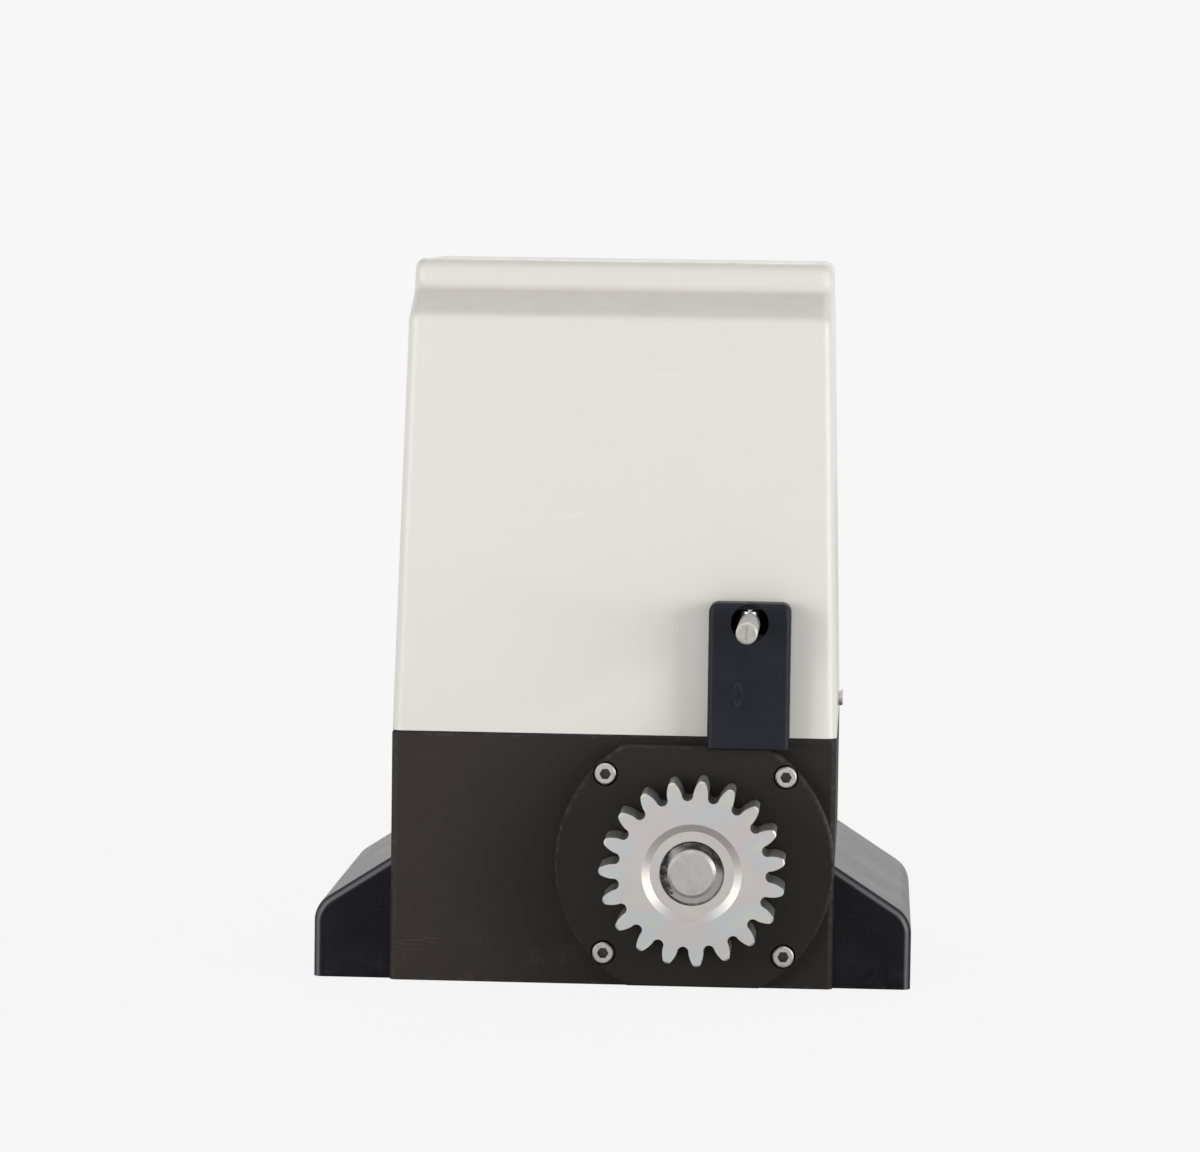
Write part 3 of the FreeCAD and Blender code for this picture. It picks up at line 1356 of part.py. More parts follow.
def build():
    top_bearing_z = motor_top_z - top_bearing_width - 1.5
    return {
        "base_housing": base_housing(),
        "gearbox_lid": gearbox_lid(),
        "lid_screws": lid_screws(),
        "top_cover": top_cover(),
        "cover_gasket": cover_gasket(),
        "cover_screws": cover_screws(),
        "mounting_bracket_left": mounting_bracket(-1),
        "mounting_bracket_right": mounting_bracket(1),
        "bracket_screws": bracket_screws(),
        "foot_cover_left": foot_cover(-1),
        "foot_cover_right": foot_cover(1),
        "output_flange": output_flange(),
        "flange_screws": flange_screws(),
        "shaft_seal": shaft_seal(),
        "front_bearing_outer": output_bearing(front_bearing_y, "outer"),
        "front_bearing_inner": output_bearing(front_bearing_y, "inner"),
        "rear_bearing_outer": output_bearing(rear_bearing_y, "outer"),
        "rear_bearing_inner": output_bearing(rear_bearing_y, "inner"),
        "output_shaft": output_shaft(),
        "drive_pinion": drive_pinion(),
        "pinion_key": pinion_key(),
        "circlip": circlip(),
        "worm_wheel": worm_wheel(),
        "wheel_key": wheel_key(),
        "motor_shaft": motor_shaft(),
        "floor_bearing_outer": upright_bearing(floor_bearing_radius, floor_bearing_bore, floor_bearing_width,
                                               floor_bearing_z, "outer"),
        "floor_bearing_inner": upright_bearing(floor_bearing_radius, floor_bearing_bore, floor_bearing_width,
                                               floor_bearing_z, "inner"),
        "lid_bearing_outer": upright_bearing(lid_bearing_radius, lid_bearing_bore, lid_bearing_width,
                                             lid_bearing_z, "outer"),
        "lid_bearing_inner": upright_bearing(lid_bearing_radius, lid_bearing_bore, lid_bearing_width,
                                             lid_bearing_z, "inner"),
        "top_bearing_outer": upright_bearing(top_bearing_radius, top_bearing_bore, top_bearing_width,
                                             top_bearing_z, "outer"),
        "top_bearing_inner": upright_bearing(top_bearing_radius, top_bearing_bore, top_bearing_width,
                                             top_bearing_z, "inner"),
        "motor_rotor": motor_rotor(),
        "stator_stack": stator_stack(),
        "stator_windings": stator_windings(),
        "motor_lower_bell": motor_lower_bell(),
        "motor_upper_bell": motor_upper_bell(),
        "motor_bolts": motor_bolts(),
        "capacitor": capacitor(),
        "capacitor_clamp": capacitor_clamp(),
        "board_bracket": board_bracket(),
        "board_standoffs": board_standoffs(),
        "control_board": control_board(),
        "relays": relays(),
        "terminal_blocks": terminal_blocks(),
        "transformer": transformer(),
        "cable_grommet": cable_grommet(),
        "limit_case": limit_case(),
        "limit_case_back": limit_case_back(),
        "limit_pin": limit_pin(),
        "limit_lever": limit_lever(),
        "limit_spring": limit_spring(),
        "spring_tip": spring_tip(),
        "microswitches": microswitches(),
        "release_bezel": release_bezel(),
        "bezel_screws": bezel_screws(),
        "release_pin": release_pin(),
        "release_lever": release_lever(),
        "lock_barrel": lock_barrel(),
        "release_plunger": release_plunger(),
    }


os.makedirs("parts", exist_ok=True)
for name, shape in build().items():
    shape.exportStep("parts/" + name + ".step")
    print(name, "valid" if shape.isValid() else "INVALID", len(shape.Solids), "solids",
          round(shape.Volume / 1000, 2), "cm3")
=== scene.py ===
import json
import math

import bmesh
import bpy
from mathutils import Euler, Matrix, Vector


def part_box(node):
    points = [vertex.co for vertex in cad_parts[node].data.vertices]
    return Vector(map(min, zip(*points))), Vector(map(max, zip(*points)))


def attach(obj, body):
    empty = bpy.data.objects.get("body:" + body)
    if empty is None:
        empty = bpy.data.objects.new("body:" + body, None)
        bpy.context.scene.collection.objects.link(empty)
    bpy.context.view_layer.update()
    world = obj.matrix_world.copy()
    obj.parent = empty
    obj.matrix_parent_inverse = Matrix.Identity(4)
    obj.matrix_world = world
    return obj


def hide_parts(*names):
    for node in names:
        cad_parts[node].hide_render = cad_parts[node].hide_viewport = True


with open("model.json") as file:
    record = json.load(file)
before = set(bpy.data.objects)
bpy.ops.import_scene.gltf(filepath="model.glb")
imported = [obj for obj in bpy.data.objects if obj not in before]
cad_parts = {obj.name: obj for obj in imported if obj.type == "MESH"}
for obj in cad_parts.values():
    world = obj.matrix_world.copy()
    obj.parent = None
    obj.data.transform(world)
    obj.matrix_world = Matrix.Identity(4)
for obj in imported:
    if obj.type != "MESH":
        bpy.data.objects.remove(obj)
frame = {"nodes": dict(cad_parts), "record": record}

scene = bpy.context.scene
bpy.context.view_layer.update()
mm = 0.001


# One socket of a node, so that shader maths reads as plain sums.
class Value:
    def __init__(self, nodes, socket):
        self.nodes = nodes
        self.socket = socket

    def maths(self, operation, *others):
        return self.nodes.node("ShaderNodeMath", {"operation": operation}, (self,) + others)

    def swapped(self, operation, first):
        return self.nodes.node("ShaderNodeMath", {"operation": operation}, (first, self))

    def __add__(self, other):
        return self.maths("ADD", other)

    def __radd__(self, other):
        return self.swapped("ADD", other)

    def __sub__(self, other):
        return self.maths("SUBTRACT", other)

    def __rsub__(self, other):
        return self.swapped("SUBTRACT", other)

    def __mul__(self, other):
        return self.maths("MULTIPLY", other)

    def __rmul__(self, other):
        return self.swapped("MULTIPLY", other)

    def __truediv__(self, other):
        return self.maths("DIVIDE", other)

    def __rtruediv__(self, other):
        return self.swapped("DIVIDE", other)

    def __pow__(self, other):
        return self.maths("POWER", other)

    def __abs__(self):
        return self.maths("ABSOLUTE")

    def sine(self):
        return self.maths("SINE")

    def waves(self, pitch):
        return (self * (2 * math.pi / pitch)).sine()

    def angle(self, other):
        return self.maths("ARCTAN2", other)

    def most(self, other):
        return self.maths("MAXIMUM", other)

    def fade(self, low, high):
        return self.nodes.node("ShaderNodeMapRange", {"interpolation_type": "SMOOTHSTEP"},
                               {"Value": self, "From Min": low, "From Max": high})


# The nodes of a material or of the world, all made by one method.
class Nodes:
    def __init__(self, tree):
        self.tree = tree

    def node(self, kind, settings=None, values=(), output=0):
        made = self.tree.nodes.new(kind)
        for key, value in (settings or {}).items():
            if key == "stops":
                self.setStops(made.color_ramp, value)
            else:
                setattr(made, key, value)
        pairs = values.items() if isinstance(values, dict) else enumerate(values)
        for key, value in pairs:
            if isinstance(value, Value):
                self.tree.links.new(value.socket, made.inputs[key])
            else:
                made.inputs[key].default_value = value
        return Value(self, made.outputs[output])

    def setStops(self, ramp, stops):
        while len(ramp.elements) < len(stops):
            ramp.elements.new(1.0)
        for element, (position, colour) in zip(ramp.elements, stops):
            element.position = position
            element.color = (*colour, 1.0)


# A material with one principled shader and everything that feeds it.
class Finish(Nodes):
    def __init__(self, name, **constants):
        self.material = bpy.data.materials.new(name)
        self.material.use_nodes = True
        super().__init__(self.material.node_tree)
        self.shader = self.tree.nodes["Principled BSDF"]
        for socket, value in constants.items():
            self.shader.inputs[socket.replace("_", " ")].default_value = value
        self.placeParts = None

    def place(self):
        return self.node("ShaderNodeTexCoord", output="Object")

    def parts(self, vector):
        first = self.node("ShaderNodeSeparateXYZ", None, (vector,))
        return [Value(self, socket) for socket in first.socket.node.outputs]

    def axes(self):
        if self.placeParts is None:
            self.placeParts = self.parts(self.place())
        return self.placeParts

    def facing(self):
        return self.parts(self.node("ShaderNodeNewGeometry", output="Normal"))

    # Cloudy pattern of a given grain in millimetres, drawn out along the axes that stretch names.
    def cloud(self, grain, detail=3.0, rough=0.55, stretch=(1, 1, 1), seed=0.0):
        scale = tuple(1 / (grain * mm * part) for part in stretch)
        shift = (seed, seed * 1.7, seed * 0.6)
        where = self.node("ShaderNodeMapping", None,
                          {"Vector": self.place(), "Scale": scale, "Location": shift})
        return self.node("ShaderNodeTexNoise", None,
                         {"Vector": where, "Scale": 1.0, "Detail": detail, "Roughness": rough})

    def cells(self, grain, stretch=(1, 1, 1), feature="F1", output="Distance"):
        scale = tuple(1 / (grain * mm * part) for part in stretch)
        where = self.node("ShaderNodeMapping", None, {"Vector": self.place(), "Scale": scale})
        return self.node("ShaderNodeTexVoronoi", {"feature": feature}, {"Vector": where, "Scale": 1.0},
                         output=output)

    def mix(self, amount, first, second):
        return self.node("ShaderNodeMix", {"data_type": "RGBA"},
                         {0: amount, 6: solid(first), 7: solid(second)}, output=2)

    def ramp(self, value, stops):
        return self.node("ShaderNodeValToRGB", {"stops": stops}, (value,))

    def feed(self, **links):
        for socket, value in links.items():
            self.tree.links.new(value.socket, self.shader.inputs[socket.replace("_", " ")])

    # Relief in millimetres.
    def relief(self, height, depth, strength=1.0):
        bump = self.node("ShaderNodeBump", None, {"Strength": strength, "Distance": depth * mm,
                                                  "Height": height})
        self.feed(Normal=bump)

    # The two offsets from an axis that runs along x, y or z through a point.
    def offsets(self, point, along):
        return [part - middle for name, part, middle in zip("xyz", self.axes(), point) if name != along]

    def away(self, point, along):
        first, second = self.offsets(point, along)
        return (first * first + second * second) ** 0.5

    def around(self, point, along):
        first, second = self.offsets(point, along)
        return second.angle(first)


def solid(colour):
    return colour if isinstance(colour, Value) else (*colour, 1.0)


def shade(colour, factor):
    return tuple(min(part * factor, 1.0) for part in colour)


def middleOf(node):
    low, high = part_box(node)
    return (low + high) / 2


# Cover.
coverLook = {
    "colour": (0.752, 0.728, 0.690),
    "aged": (0.700, 0.662, 0.580),
    "haze": 0.045,
    "sheen": 0.34,
    "grain": 0.55,
    "grainDepth": 0.012,
    "dust": (0.50, 0.46, 0.34),
    "specks": (0.33, 0.29, 0.23),
    "rubbed": (0.93, 0.92, 0.89),
}


def coverPlastic():
    look = coverLook
    finish = Finish("coverPlastic", Specular_IOR_Level=0.42, Coat_Roughness=0.22)
    height = finish.axes()[2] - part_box("top_cover")[0].z
    broad = finish.cloud(120, detail=2.0, seed=3.0)
    patches = finish.cloud(38, detail=4.0, rough=0.6, seed=9.0)
    flow = finish.cloud(16, detail=3.0, stretch=(1, 1, 7), seed=5.0)
    base = finish.mix((broad * 0.6 + patches * 0.4).fade(0.38, 0.72) * look["haze"] * 6, look["colour"],
                      shade(look["colour"], 0.955))
    base = finish.mix(flow.fade(0.56, 0.74) * 0.10, base, shade(look["colour"], 1.05))
    lowEdge = 1 - height.fade(0.0, 0.035)
    base = finish.mix(lowEdge * patches * 0.30, base, look["aged"])
    north = finish.facing()[2]
    settled = north.fade(0.35, 0.95) * finish.cloud(9, detail=5.0, rough=0.7, seed=2.0).fade(0.42, 0.70)
    # Painted shade: besides the patchy settled dust, every upward face is darkened evenly towards the dust
    # colour.
    base = finish.mix(settled * 0.12 + north.fade(0.35, 0.80) * 0.14, base, look["dust"])
    specks = 1 - finish.cells(7.5).fade(0.03, 0.075)
    kept = finish.cloud(22, seed=12.0).fade(0.60, 0.66)
    base = finish.mix(specks * kept * 0.28, base, look["specks"])
    rubs = finish.cloud(6, detail=4.0, stretch=(6, 6, 1), seed=15.0).fade(0.64, 0.70)
    base = finish.mix(rubs * patches.fade(0.5, 0.62) * 0.10, base, look["rubbed"])
    grain = finish.cloud(look["grain"], detail=2.0)
    finish.feed(Base_Color=base,
                Roughness=look["sheen"] + patches * 0.14 + rubs * 0.12 + settled * 0.10,
                Coat_Weight=0.10 + broad * 0.08 - rubs * 0.06)
    finish.relief(grain * 0.45 + finish.cloud(5, detail=1.0, seed=4.0) * 0.9, look["grainDepth"] * 3)
    return finish.material


# Cast base and flange.
castingLook = {
    "colour": (0.0215, 0.0172, 0.0148),
    "pale": (0.040, 0.034, 0.029),
    "bare": (0.16, 0.15, 0.14),
    "splash": (0.09, 0.07, 0.05),
    "scuff": (0.10, 0.085, 0.065),
    "rough": 0.44,
    "textureGrain": 0.9,
    "textureDepth": 0.035,
    # film and its reach paint shade on the base around the flange.
    "film": (0.0150, 0.0128, 0.0126),
    "flangeShadeReach": (0.062, 0.130),
    "scuffAt": (-0.090, 0.0165),
    "scuffSize": (0.013, 0.0055),
    "scuffLean": 0.22,
    "cornerWear": 3.5 * mm,
    "topWear": 1.8 * mm,
}


def castingPaint():
    look = castingLook
    finish = Finish("castingPaint", Specular_IOR_Level=0.19)
    low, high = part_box("base_housing")
    x, y, z = finish.axes()
    mottle = finish.cloud(30, detail=5.0, rough=0.6, seed=1.0)
    streaks = finish.cloud(5, detail=4.0, stretch=(1, 1, 9), seed=7.0)
    grit = finish.cells(look["textureGrain"])
    base = finish.mix(mottle.fade(0.35, 0.70), look["colour"], shade(look["colour"], 1.28))
    base = finish.mix(streaks.fade(0.55, 0.75) * 0.35, base, look["pale"])
    base = finish.mix(grit.fade(0.05, 0.55) * 0.22, shade(look["colour"], 1.35), base)
    # Painted shade: darker in a ring around the flange, fading out from its rim.
    inner, outer = look["flangeShadeReach"]
    film = 1 - finish.away(middleOf("output_flange"), "y").fade(inner, outer)
    base = finish.mix(film * (0.70 + mottle * 0.30), base, look["film"])
    wide = look["cornerWear"]
    nearSide = (abs(x) - (high.x - wide)).fade(0.0, wide)
    nearCorner = nearSide * (abs(y) - (high.y - wide)).fade(0.0, wide)
    nearTop = (z - (high.z - look["topWear"])).fade(0.0, 0.0016)
    nearFoot = 1 - z.fade(0.0, 0.0022)
    rim = nearCorner.most(nearTop).most(nearFoot)
    worn = rim * finish.cloud(4, detail=5.0, rough=0.7, seed=21.0).fade(0.50, 0.62)
    base = finish.mix(worn * 0.16, base, look["bare"])
    splash = (1 - z.fade(0.004, 0.045)) * finish.cloud(11, detail=5.0, rough=0.65, seed=8.0).fade(0.48, 0.68)
    base = finish.mix(splash * 0.14, base, look["splash"])
    middleX, middleZ = look["scuffAt"]
    reachX, reachZ = look["scuffSize"]
    across = (x - middleX) / reachX
    upward = (z - middleZ - (x - middleX) * look["scuffLean"]) / reachZ
    patch = 1 - (across * across + upward * upward).fade(0.35, 1.0)
    onFront = 1 - (y - low.y).fade(0.002, 0.004)
    lines = finish.cloud(1.0, detail=2.0, stretch=(12, 1, 1), seed=6.0).fade(0.57, 0.64)
    scuff = patch * onFront * lines
    base = finish.mix(scuff * 0.28, base, look["scuff"])
    finish.feed(Base_Color=base,
                Roughness=look["rough"] + mottle * 0.16 + grit * 0.10 - worn * 0.12 + scuff * 0.15,
                Metallic=worn * 0.2)
    finish.relief(grit * 0.7 + finish.cloud(2.2, detail=3.0) * 0.8 - scuff * 0.8, look["textureDepth"])
    return finish.material


flangeLook = {
    "colour": (0.0125, 0.0104, 0.0100),
    "grease": (0.005, 0.004, 0.004),
    "edge": (0.110, 0.100, 0.092),
    "rough": 0.40,
}


def flangePaint():
    look = flangeLook
    finish = Finish("flangePaint", Specular_IOR_Level=0.19)
    centre = middleOf("output_flange")
    low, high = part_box("output_flange")
    height = finish.axes()[2]
    radius = finish.away(centre, "y")
    mottle = finish.cloud(24, detail=5.0, rough=0.6, seed=14.0)
    grit = finish.cells(0.8)
    base = finish.mix(mottle.fade(0.36, 0.70), look["colour"], shade(look["colour"], 1.35))
    base = finish.mix(grit.fade(0.05, 0.5) * 0.25, shade(look["colour"], 1.5), base)
    reach = (high.x - low.x) / 2
    # Paint chipped to metal at the outer rim and along the top flat, with a painted highlight of the rim
    # bevel in the same band.
    rim = (radius - (reach - 0.0022)).fade(0.0, 0.0020)
    topFlat = (height - (high.z - 0.0016)).fade(0.0, 0.0014)
    chipsAndHighlight = finish.cloud(3, detail=5.0, rough=0.7, seed=18.0).fade(0.42, 0.66)
    edge = rim.most(topFlat) * chipsAndHighlight
    base = finish.mix(edge * 0.40, base, look["edge"])
    grease = (1 - radius.fade(0.020, 0.052)) * finish.cloud(7, detail=4.0, seed=4.0).fade(0.46, 0.64)
    base = finish.mix(grease * 0.45, base, look["grease"])
    finish.feed(Base_Color=base, Roughness=look["rough"] + mottle * 0.16 - grease * 0.20 + grit * 0.06,
                Metallic=edge * 0.4)
    finish.relief(grit * 0.6 + finish.cloud(2.0, detail=3.0) * 0.8, 0.030)
    return finish.material


castAluminiumLook = {"colour": (0.58, 0.58, 0.57), "dark": (0.34, 0.34, 0.33), "rough": 0.42}


def castAluminium():
    look = castAluminiumLook
    finish = Finish("castAluminium", Metallic=0.9)
    skin = finish.cloud(1.6, detail=5.0, rough=0.7)
    stain = finish.cloud(26, detail=4.0, seed=3.0)
    flow = finish.cloud(7, detail=3.0, stretch=(1, 1, 4), seed=8.0)
    pits = 1 - finish.cells(2.6).fade(0.05, 0.22)
    base = finish.mix(stain.fade(0.40, 0.70) * 0.6, look["colour"], shade(look["colour"], 0.80))
    base = finish.mix(flow.fade(0.52, 0.70) * 0.35, base, shade(look["colour"], 1.14))
    base = finish.mix(pits * 0.5, base, look["dark"])
    finish.feed(Base_Color=base, Roughness=look["rough"] + skin * 0.22 - flow * 0.06)
    finish.relief(skin - pits * 0.6, 0.05)
    return finish.material


# Feet.
footLook = {
    "colour": (0.0062, 0.0062, 0.0088),
    "rim": (0.165, 0.162, 0.172),
    "scratch": (0.040, 0.040, 0.044),
    "dust": (0.09, 0.08, 0.065),
    "rough": 0.20,
}


def footPlastic():
    look = footLook
    finish = Finish("footPlastic", Specular_IOR_Level=0.115, Coat_Roughness=0.10, Coat_IOR=1.22)
    _, y, z = finish.axes()
    broad = finish.cloud(32, detail=3.0, seed=2.0)
    fine = finish.cloud(0.35, detail=1.0)
    longHairs = finish.cloud(0.8, detail=2.0, stretch=(1, 14, 1), seed=11.0).fade(0.66, 0.70)
    hairs = longHairs + finish.cloud(0.9, detail=2.0, stretch=(9, 1, 2), seed=17.0).fade(0.68, 0.71)
    dust = (1 - z.fade(0.002, 0.022)) * finish.cloud(8, detail=5.0, rough=0.7, seed=5.0).fade(0.46, 0.70)
    base = finish.mix(broad.fade(0.40, 0.70), look["colour"], shade(look["colour"], 1.5))
    base = finish.mix(hairs * 0.14, base, look["scratch"])
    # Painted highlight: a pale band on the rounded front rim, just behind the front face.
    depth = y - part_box("foot_cover_left")[0].y
    rim = depth.fade(0.00002, 0.00040) * (1 - depth.fade(0.0006, 0.0018))
    base = finish.mix(rim * 0.75, base, look["rim"])
    base = finish.mix(dust * 0.10, base, look["dust"])
    finish.feed(Base_Color=base,
                Roughness=look["rough"] + broad * 0.14 + hairs * 0.08 + dust * 0.25,
                Coat_Weight=0.14 + rim * 0.10 - dust * 0.12)
    finish.relief(fine * 0.25 + finish.cloud(9, detail=1.0, seed=3.0) * 0.8 - longHairs * 0.5, 0.03)
    return finish.material


# Steel.
pinionLook = {
    "colour": (0.612, 0.620, 0.592),
    "rainbow": [(0.0, (0.67, 0.63, 0.57)), (0.30, (0.66, 0.58, 0.60)), (0.55, (0.57, 0.63, 0.67)),
                (0.80, (0.67, 0.66, 0.56)), (1.0, (0.62, 0.62, 0.61))],
    "root": (0.10, 0.085, 0.07),
    "boreShade": (0.030, 0.026, 0.024),
    "rough": 0.30,
    "turning": 0.35 * mm,
    "fineTurning": 0.93 * mm,
    "rootRadius": 33.0 * mm,
    "boreRadius": 14.0 * mm,
    "dishRadii": (18.5 * mm, 22.0 * mm),
}


def platedPinion():
    look = pinionLook
    finish = Finish("platedPinion", Metallic=1.0)
    centre = middleOf("drive_pinion")
    radius = finish.away(centre, "y")
    depth = finish.axes()[1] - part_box("drive_pinion")[0].y
    onFace = abs(finish.facing()[1]).fade(0.80, 0.98)
    drift = finish.cloud(9, detail=2.0, seed=2.0) * 0.0004
    lathe = (radius + drift).waves(look["turning"])
    fineLathe = radius.waves(look["fineTurning"])
    film = finish.cloud(17, detail=3.0, rough=0.6, seed=6.0)
    tint = finish.ramp((film * 1.5 + radius * 14 - 0.75).fade(0.0, 1.0), look["rainbow"])
    blotch = finish.cloud(5, detail=5.0, rough=0.65, seed=9.0)
    base = finish.mix(0.55, look["colour"], tint)
    base = finish.mix(blotch.fade(0.50, 0.70) * 0.14, base, shade(look["colour"], 0.82))
    # Painted shade: tooth flanks darker towards the root circle, off the front face.
    root = (1 - (radius - look["rootRadius"]).fade(0.0, 0.0045)) * (1 - onFace)
    base = finish.mix(root * 0.45, base, look["root"])
    # Painted shade: the bottom of the sunk bore round the shaft is darkened, unevenly by a cloud.
    sunk = depth.fade(0.0028, 0.0050) * (1 - (radius - look["boreRadius"]).fade(0.0, 0.0010))
    boreShade = sunk * (0.55 + finish.cloud(3, detail=4.0, seed=1.0).fade(0.35, 0.60) * 0.35)
    base = finish.mix(boreShade, base, look["boreShade"])
    dishInner, dishOuter = look["dishRadii"]
    dish = (radius - dishInner).fade(0.0, 0.0010) * (1 - (radius - dishOuter).fade(0.0, 0.0012))
    rough = look["rough"] + blotch * 0.16 + onFace * fineLathe * 0.035 + boreShade * 0.15 + dish * 0.10
    finish.feed(Base_Color=base, Roughness=rough)
    finish.relief(onFace * lathe * 0.30 + onFace * fineLathe * 0.22 + blotch * 0.8, 0.012)
    return finish.material


plateLook = {"colour": (0.60, 0.59, 0.56), "dull": (0.40, 0.39, 0.37), "rough": 0.34}


def platedSheet():
    look = plateLook
    finish = Finish("platedSheet", Metallic=1.0)
    spangle = finish.cells(4.5, output="Color")
    split = finish.node("ShaderNodeSeparateColor", None, (spangle,))
    brushed = finish.cloud(0.5, detail=3.0, stretch=(1, 18, 1), seed=4.0)
    stain = finish.cloud(14, detail=5.0, rough=0.65, seed=8.0)
    base = finish.mix(split * 0.35, look["colour"], shade(look["colour"], 0.84))
    base = finish.mix(stain.fade(0.50, 0.72) * 0.6, base, look["dull"])
    finish.feed(Base_Color=base, Roughness=look["rough"] + stain * 0.22 + brushed * 0.10)
    finish.relief(brushed, 0.012)
    return finish.material


screwLook = {
    "colour": (0.60, 0.58, 0.545),
    "spots": (0.26, 0.19, 0.12),
    "recess": (0.075, 0.066, 0.060),
    "rough": 0.24,
    "headRadius": 4.8 * mm,
}


def screwSteel(name, socketsOf=None):
    look = screwLook
    finish = Finish(name, Metallic=1.0)
    knurl = finish.cloud(0.45, detail=2.0, stretch=(1, 5, 1), seed=3.0)
    stain = finish.cloud(3.2, detail=4.0, rough=0.65, seed=5.0)
    spots = 1 - finish.cells(1.9).fade(0.08, 0.26)
    base = finish.mix(stain.fade(0.42, 0.70) * 0.6, look["colour"], shade(look["colour"], 0.68))
    base = finish.mix(spots * stain.fade(0.5, 0.6) * 0.5, base, look["spots"])
    if socketsOf:
        base = finish.mix(socketShade(finish, socketsOf), base, look["recess"])
    finish.feed(Base_Color=base, Roughness=look["rough"] + stain * 0.24 + spots * 0.10)
    finish.relief(knurl * 0.8 + stain, 0.015)
    return finish.material


# Where the hexagon sockets of four screws in a square pattern face -Y.
def socketShade(finish, node):
    low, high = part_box(node)
    centre = (low + high) / 2
    x, y, z = finish.axes()
    headRadius = screwLook["headRadius"]
    across = abs(x - centre.x) - ((high.x - low.x) / 2 - headRadius)
    upward = abs(z - centre.z) - ((high.z - low.z) / 2 - headRadius)
    radius = (across * across + upward * upward) ** 0.5
    return (1 - radius.fade(0.50 * headRadius, 0.60 * headRadius)) * (y - low.y).fade(0.0002, 0.0012)


shaftLook = {
    "colour": (0.58, 0.565, 0.55),
    "oil": (0.28, 0.24, 0.19),
    "rough": 0.26,
    "turning": 0.42 * mm,
    "thread": 0.30 * mm,
}


def turnedShaft():
    look = shaftLook
    finish = Finish("turnedShaft", Metallic=1.0)
    radius = finish.away(middleOf("output_shaft"), "y")
    _, y, z = finish.axes()
    onEnd = abs(finish.facing()[1]).fade(0.80, 0.98)
    rings = radius.waves(look["turning"])
    threadMarks = (y + z).waves(look["thread"])
    wear = finish.cloud(6, detail=5.0, rough=0.6, seed=7.0)
    base = finish.mix(wear.fade(0.42, 0.70) * 0.6, look["colour"], shade(look["colour"], 0.72))
    base = finish.mix(finish.cloud(11, detail=3.0, seed=2.0).fade(0.55, 0.72) * 0.35, base, look["oil"])
    marks = onEnd * rings + (1 - onEnd) * threadMarks * 0.5
    finish.feed(Base_Color=base, Roughness=look["rough"] + wear * 0.18 + marks * 0.03)
    finish.relief(marks * 0.4 + wear * 0.6, 0.012)
    return finish.material


groundLook = {"colour": (0.58, 0.58, 0.59), "oil": (0.30, 0.24, 0.16), "rough": 0.16}


def groundSteel():
    look = groundLook
    finish = Finish("groundSteel", Metallic=1.0)
    polish = finish.cloud(0.4, detail=2.0, stretch=(1, 1, 12), seed=2.0)
    film = finish.cloud(8, detail=4.0, seed=6.0)
    base = finish.mix(film.fade(0.42, 0.70) * 0.6, look["colour"], shade(look["colour"], 0.74))
    base = finish.mix(finish.cloud(3, detail=4.0, seed=11.0).fade(0.60, 0.72) * 0.3, base, look["oil"])
    finish.feed(Base_Color=base, Roughness=look["rough"] + film * 0.16 + polish * 0.08)
    finish.relief(polish, 0.006)
    return finish.material


springLook = {"colour": (0.54, 0.535, 0.52), "shadow": (0.16, 0.15, 0.14), "rough": 0.24}


def springSteel():
    look = springLook
    finish = Finish("springSteel", Metallic=1.0)
    drawn = finish.cloud(0.5, detail=3.0, stretch=(1, 4, 4), seed=5.0)
    film = finish.cloud(4, detail=5.0, rough=0.6, seed=3.0)
    base = finish.mix(film.fade(0.40, 0.70) * 0.7, look["colour"], shade(look["colour"], 0.66))
    base = finish.mix(finish.cloud(2, detail=4.0, seed=13.0).fade(0.60, 0.72) * 0.35, base, look["shadow"])
    finish.feed(Base_Color=base, Roughness=look["rough"] + film * 0.20 + drawn * 0.08)
    finish.relief(drawn, 0.012)
    return finish.material


# Painted shadow: the retaining ring is darkened, in a grease colour, along its top and at its two eyes.
circlipLook = {"colour": (0.44, 0.435, 0.42), "grease": (0.012, 0.010, 0.009), "rough": 0.30}


def circlipSteel():
    look = circlipLook
    finish = Finish("circlipSteel", Metallic=0.9)
    centre = middleOf("circlip")
    low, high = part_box("circlip")
    reach = (high.x - low.x) / 2
    x, _, z = finish.axes()
    upper = ((z - centre.z) + (x - centre.x) * 0.5).fade(reach * 0.35, reach * 0.80)
    eyes = (centre.x - x).fade(reach * 0.58, reach * 0.80)
    patchy = finish.cloud(3, detail=3.0, seed=4.0).fade(0.25, 0.55)
    # Painted shadow in the grease colour, made uneven by a cloud.
    grease = upper.most(eyes) * (0.55 + patchy * 0.45)
    base = finish.mix(grease, look["colour"], look["grease"])
    finish.feed(Base_Color=base, Roughness=look["rough"] + grease * 0.25, Metallic=0.9 - grease * 0.8)
    finish.relief(finish.cloud(0.5, detail=3.0), 0.01)
    return finish.material


bronzeLook = {
    "colour": (0.58, 0.37, 0.15),
    "film": (0.42, 0.24, 0.09),
    "grease": (0.20, 0.13, 0.05),
    "rough": 0.28,
    "turning": 0.6 * mm,
}


def wheelBronze():
    look = bronzeLook
    finish = Finish("wheelBronze", Metallic=1.0)
    rings = finish.away(middleOf("worm_wheel"), "y").waves(look["turning"])
    film = finish.cloud(9, detail=5.0, rough=0.6, seed=4.0)
    grease = finish.cloud(16, detail=3.0, seed=7.0).fade(0.52, 0.70)
    base = finish.mix(film.fade(0.42, 0.70) * 0.7, look["colour"], look["film"])
    base = finish.mix(grease * 0.35, base, look["grease"])
    finish.feed(Base_Color=base, Roughness=look["rough"] + film * 0.20 - grease * 0.12)
    finish.relief(rings * 0.4 + film, 0.015)
    return finish.material


# Motor.
laminationLook = {
    "colour": (0.17, 0.17, 0.18),
    "varnish": (0.16, 0.085, 0.03),
    "leaf": 0.65 * mm,
    "rough": 0.42,
}


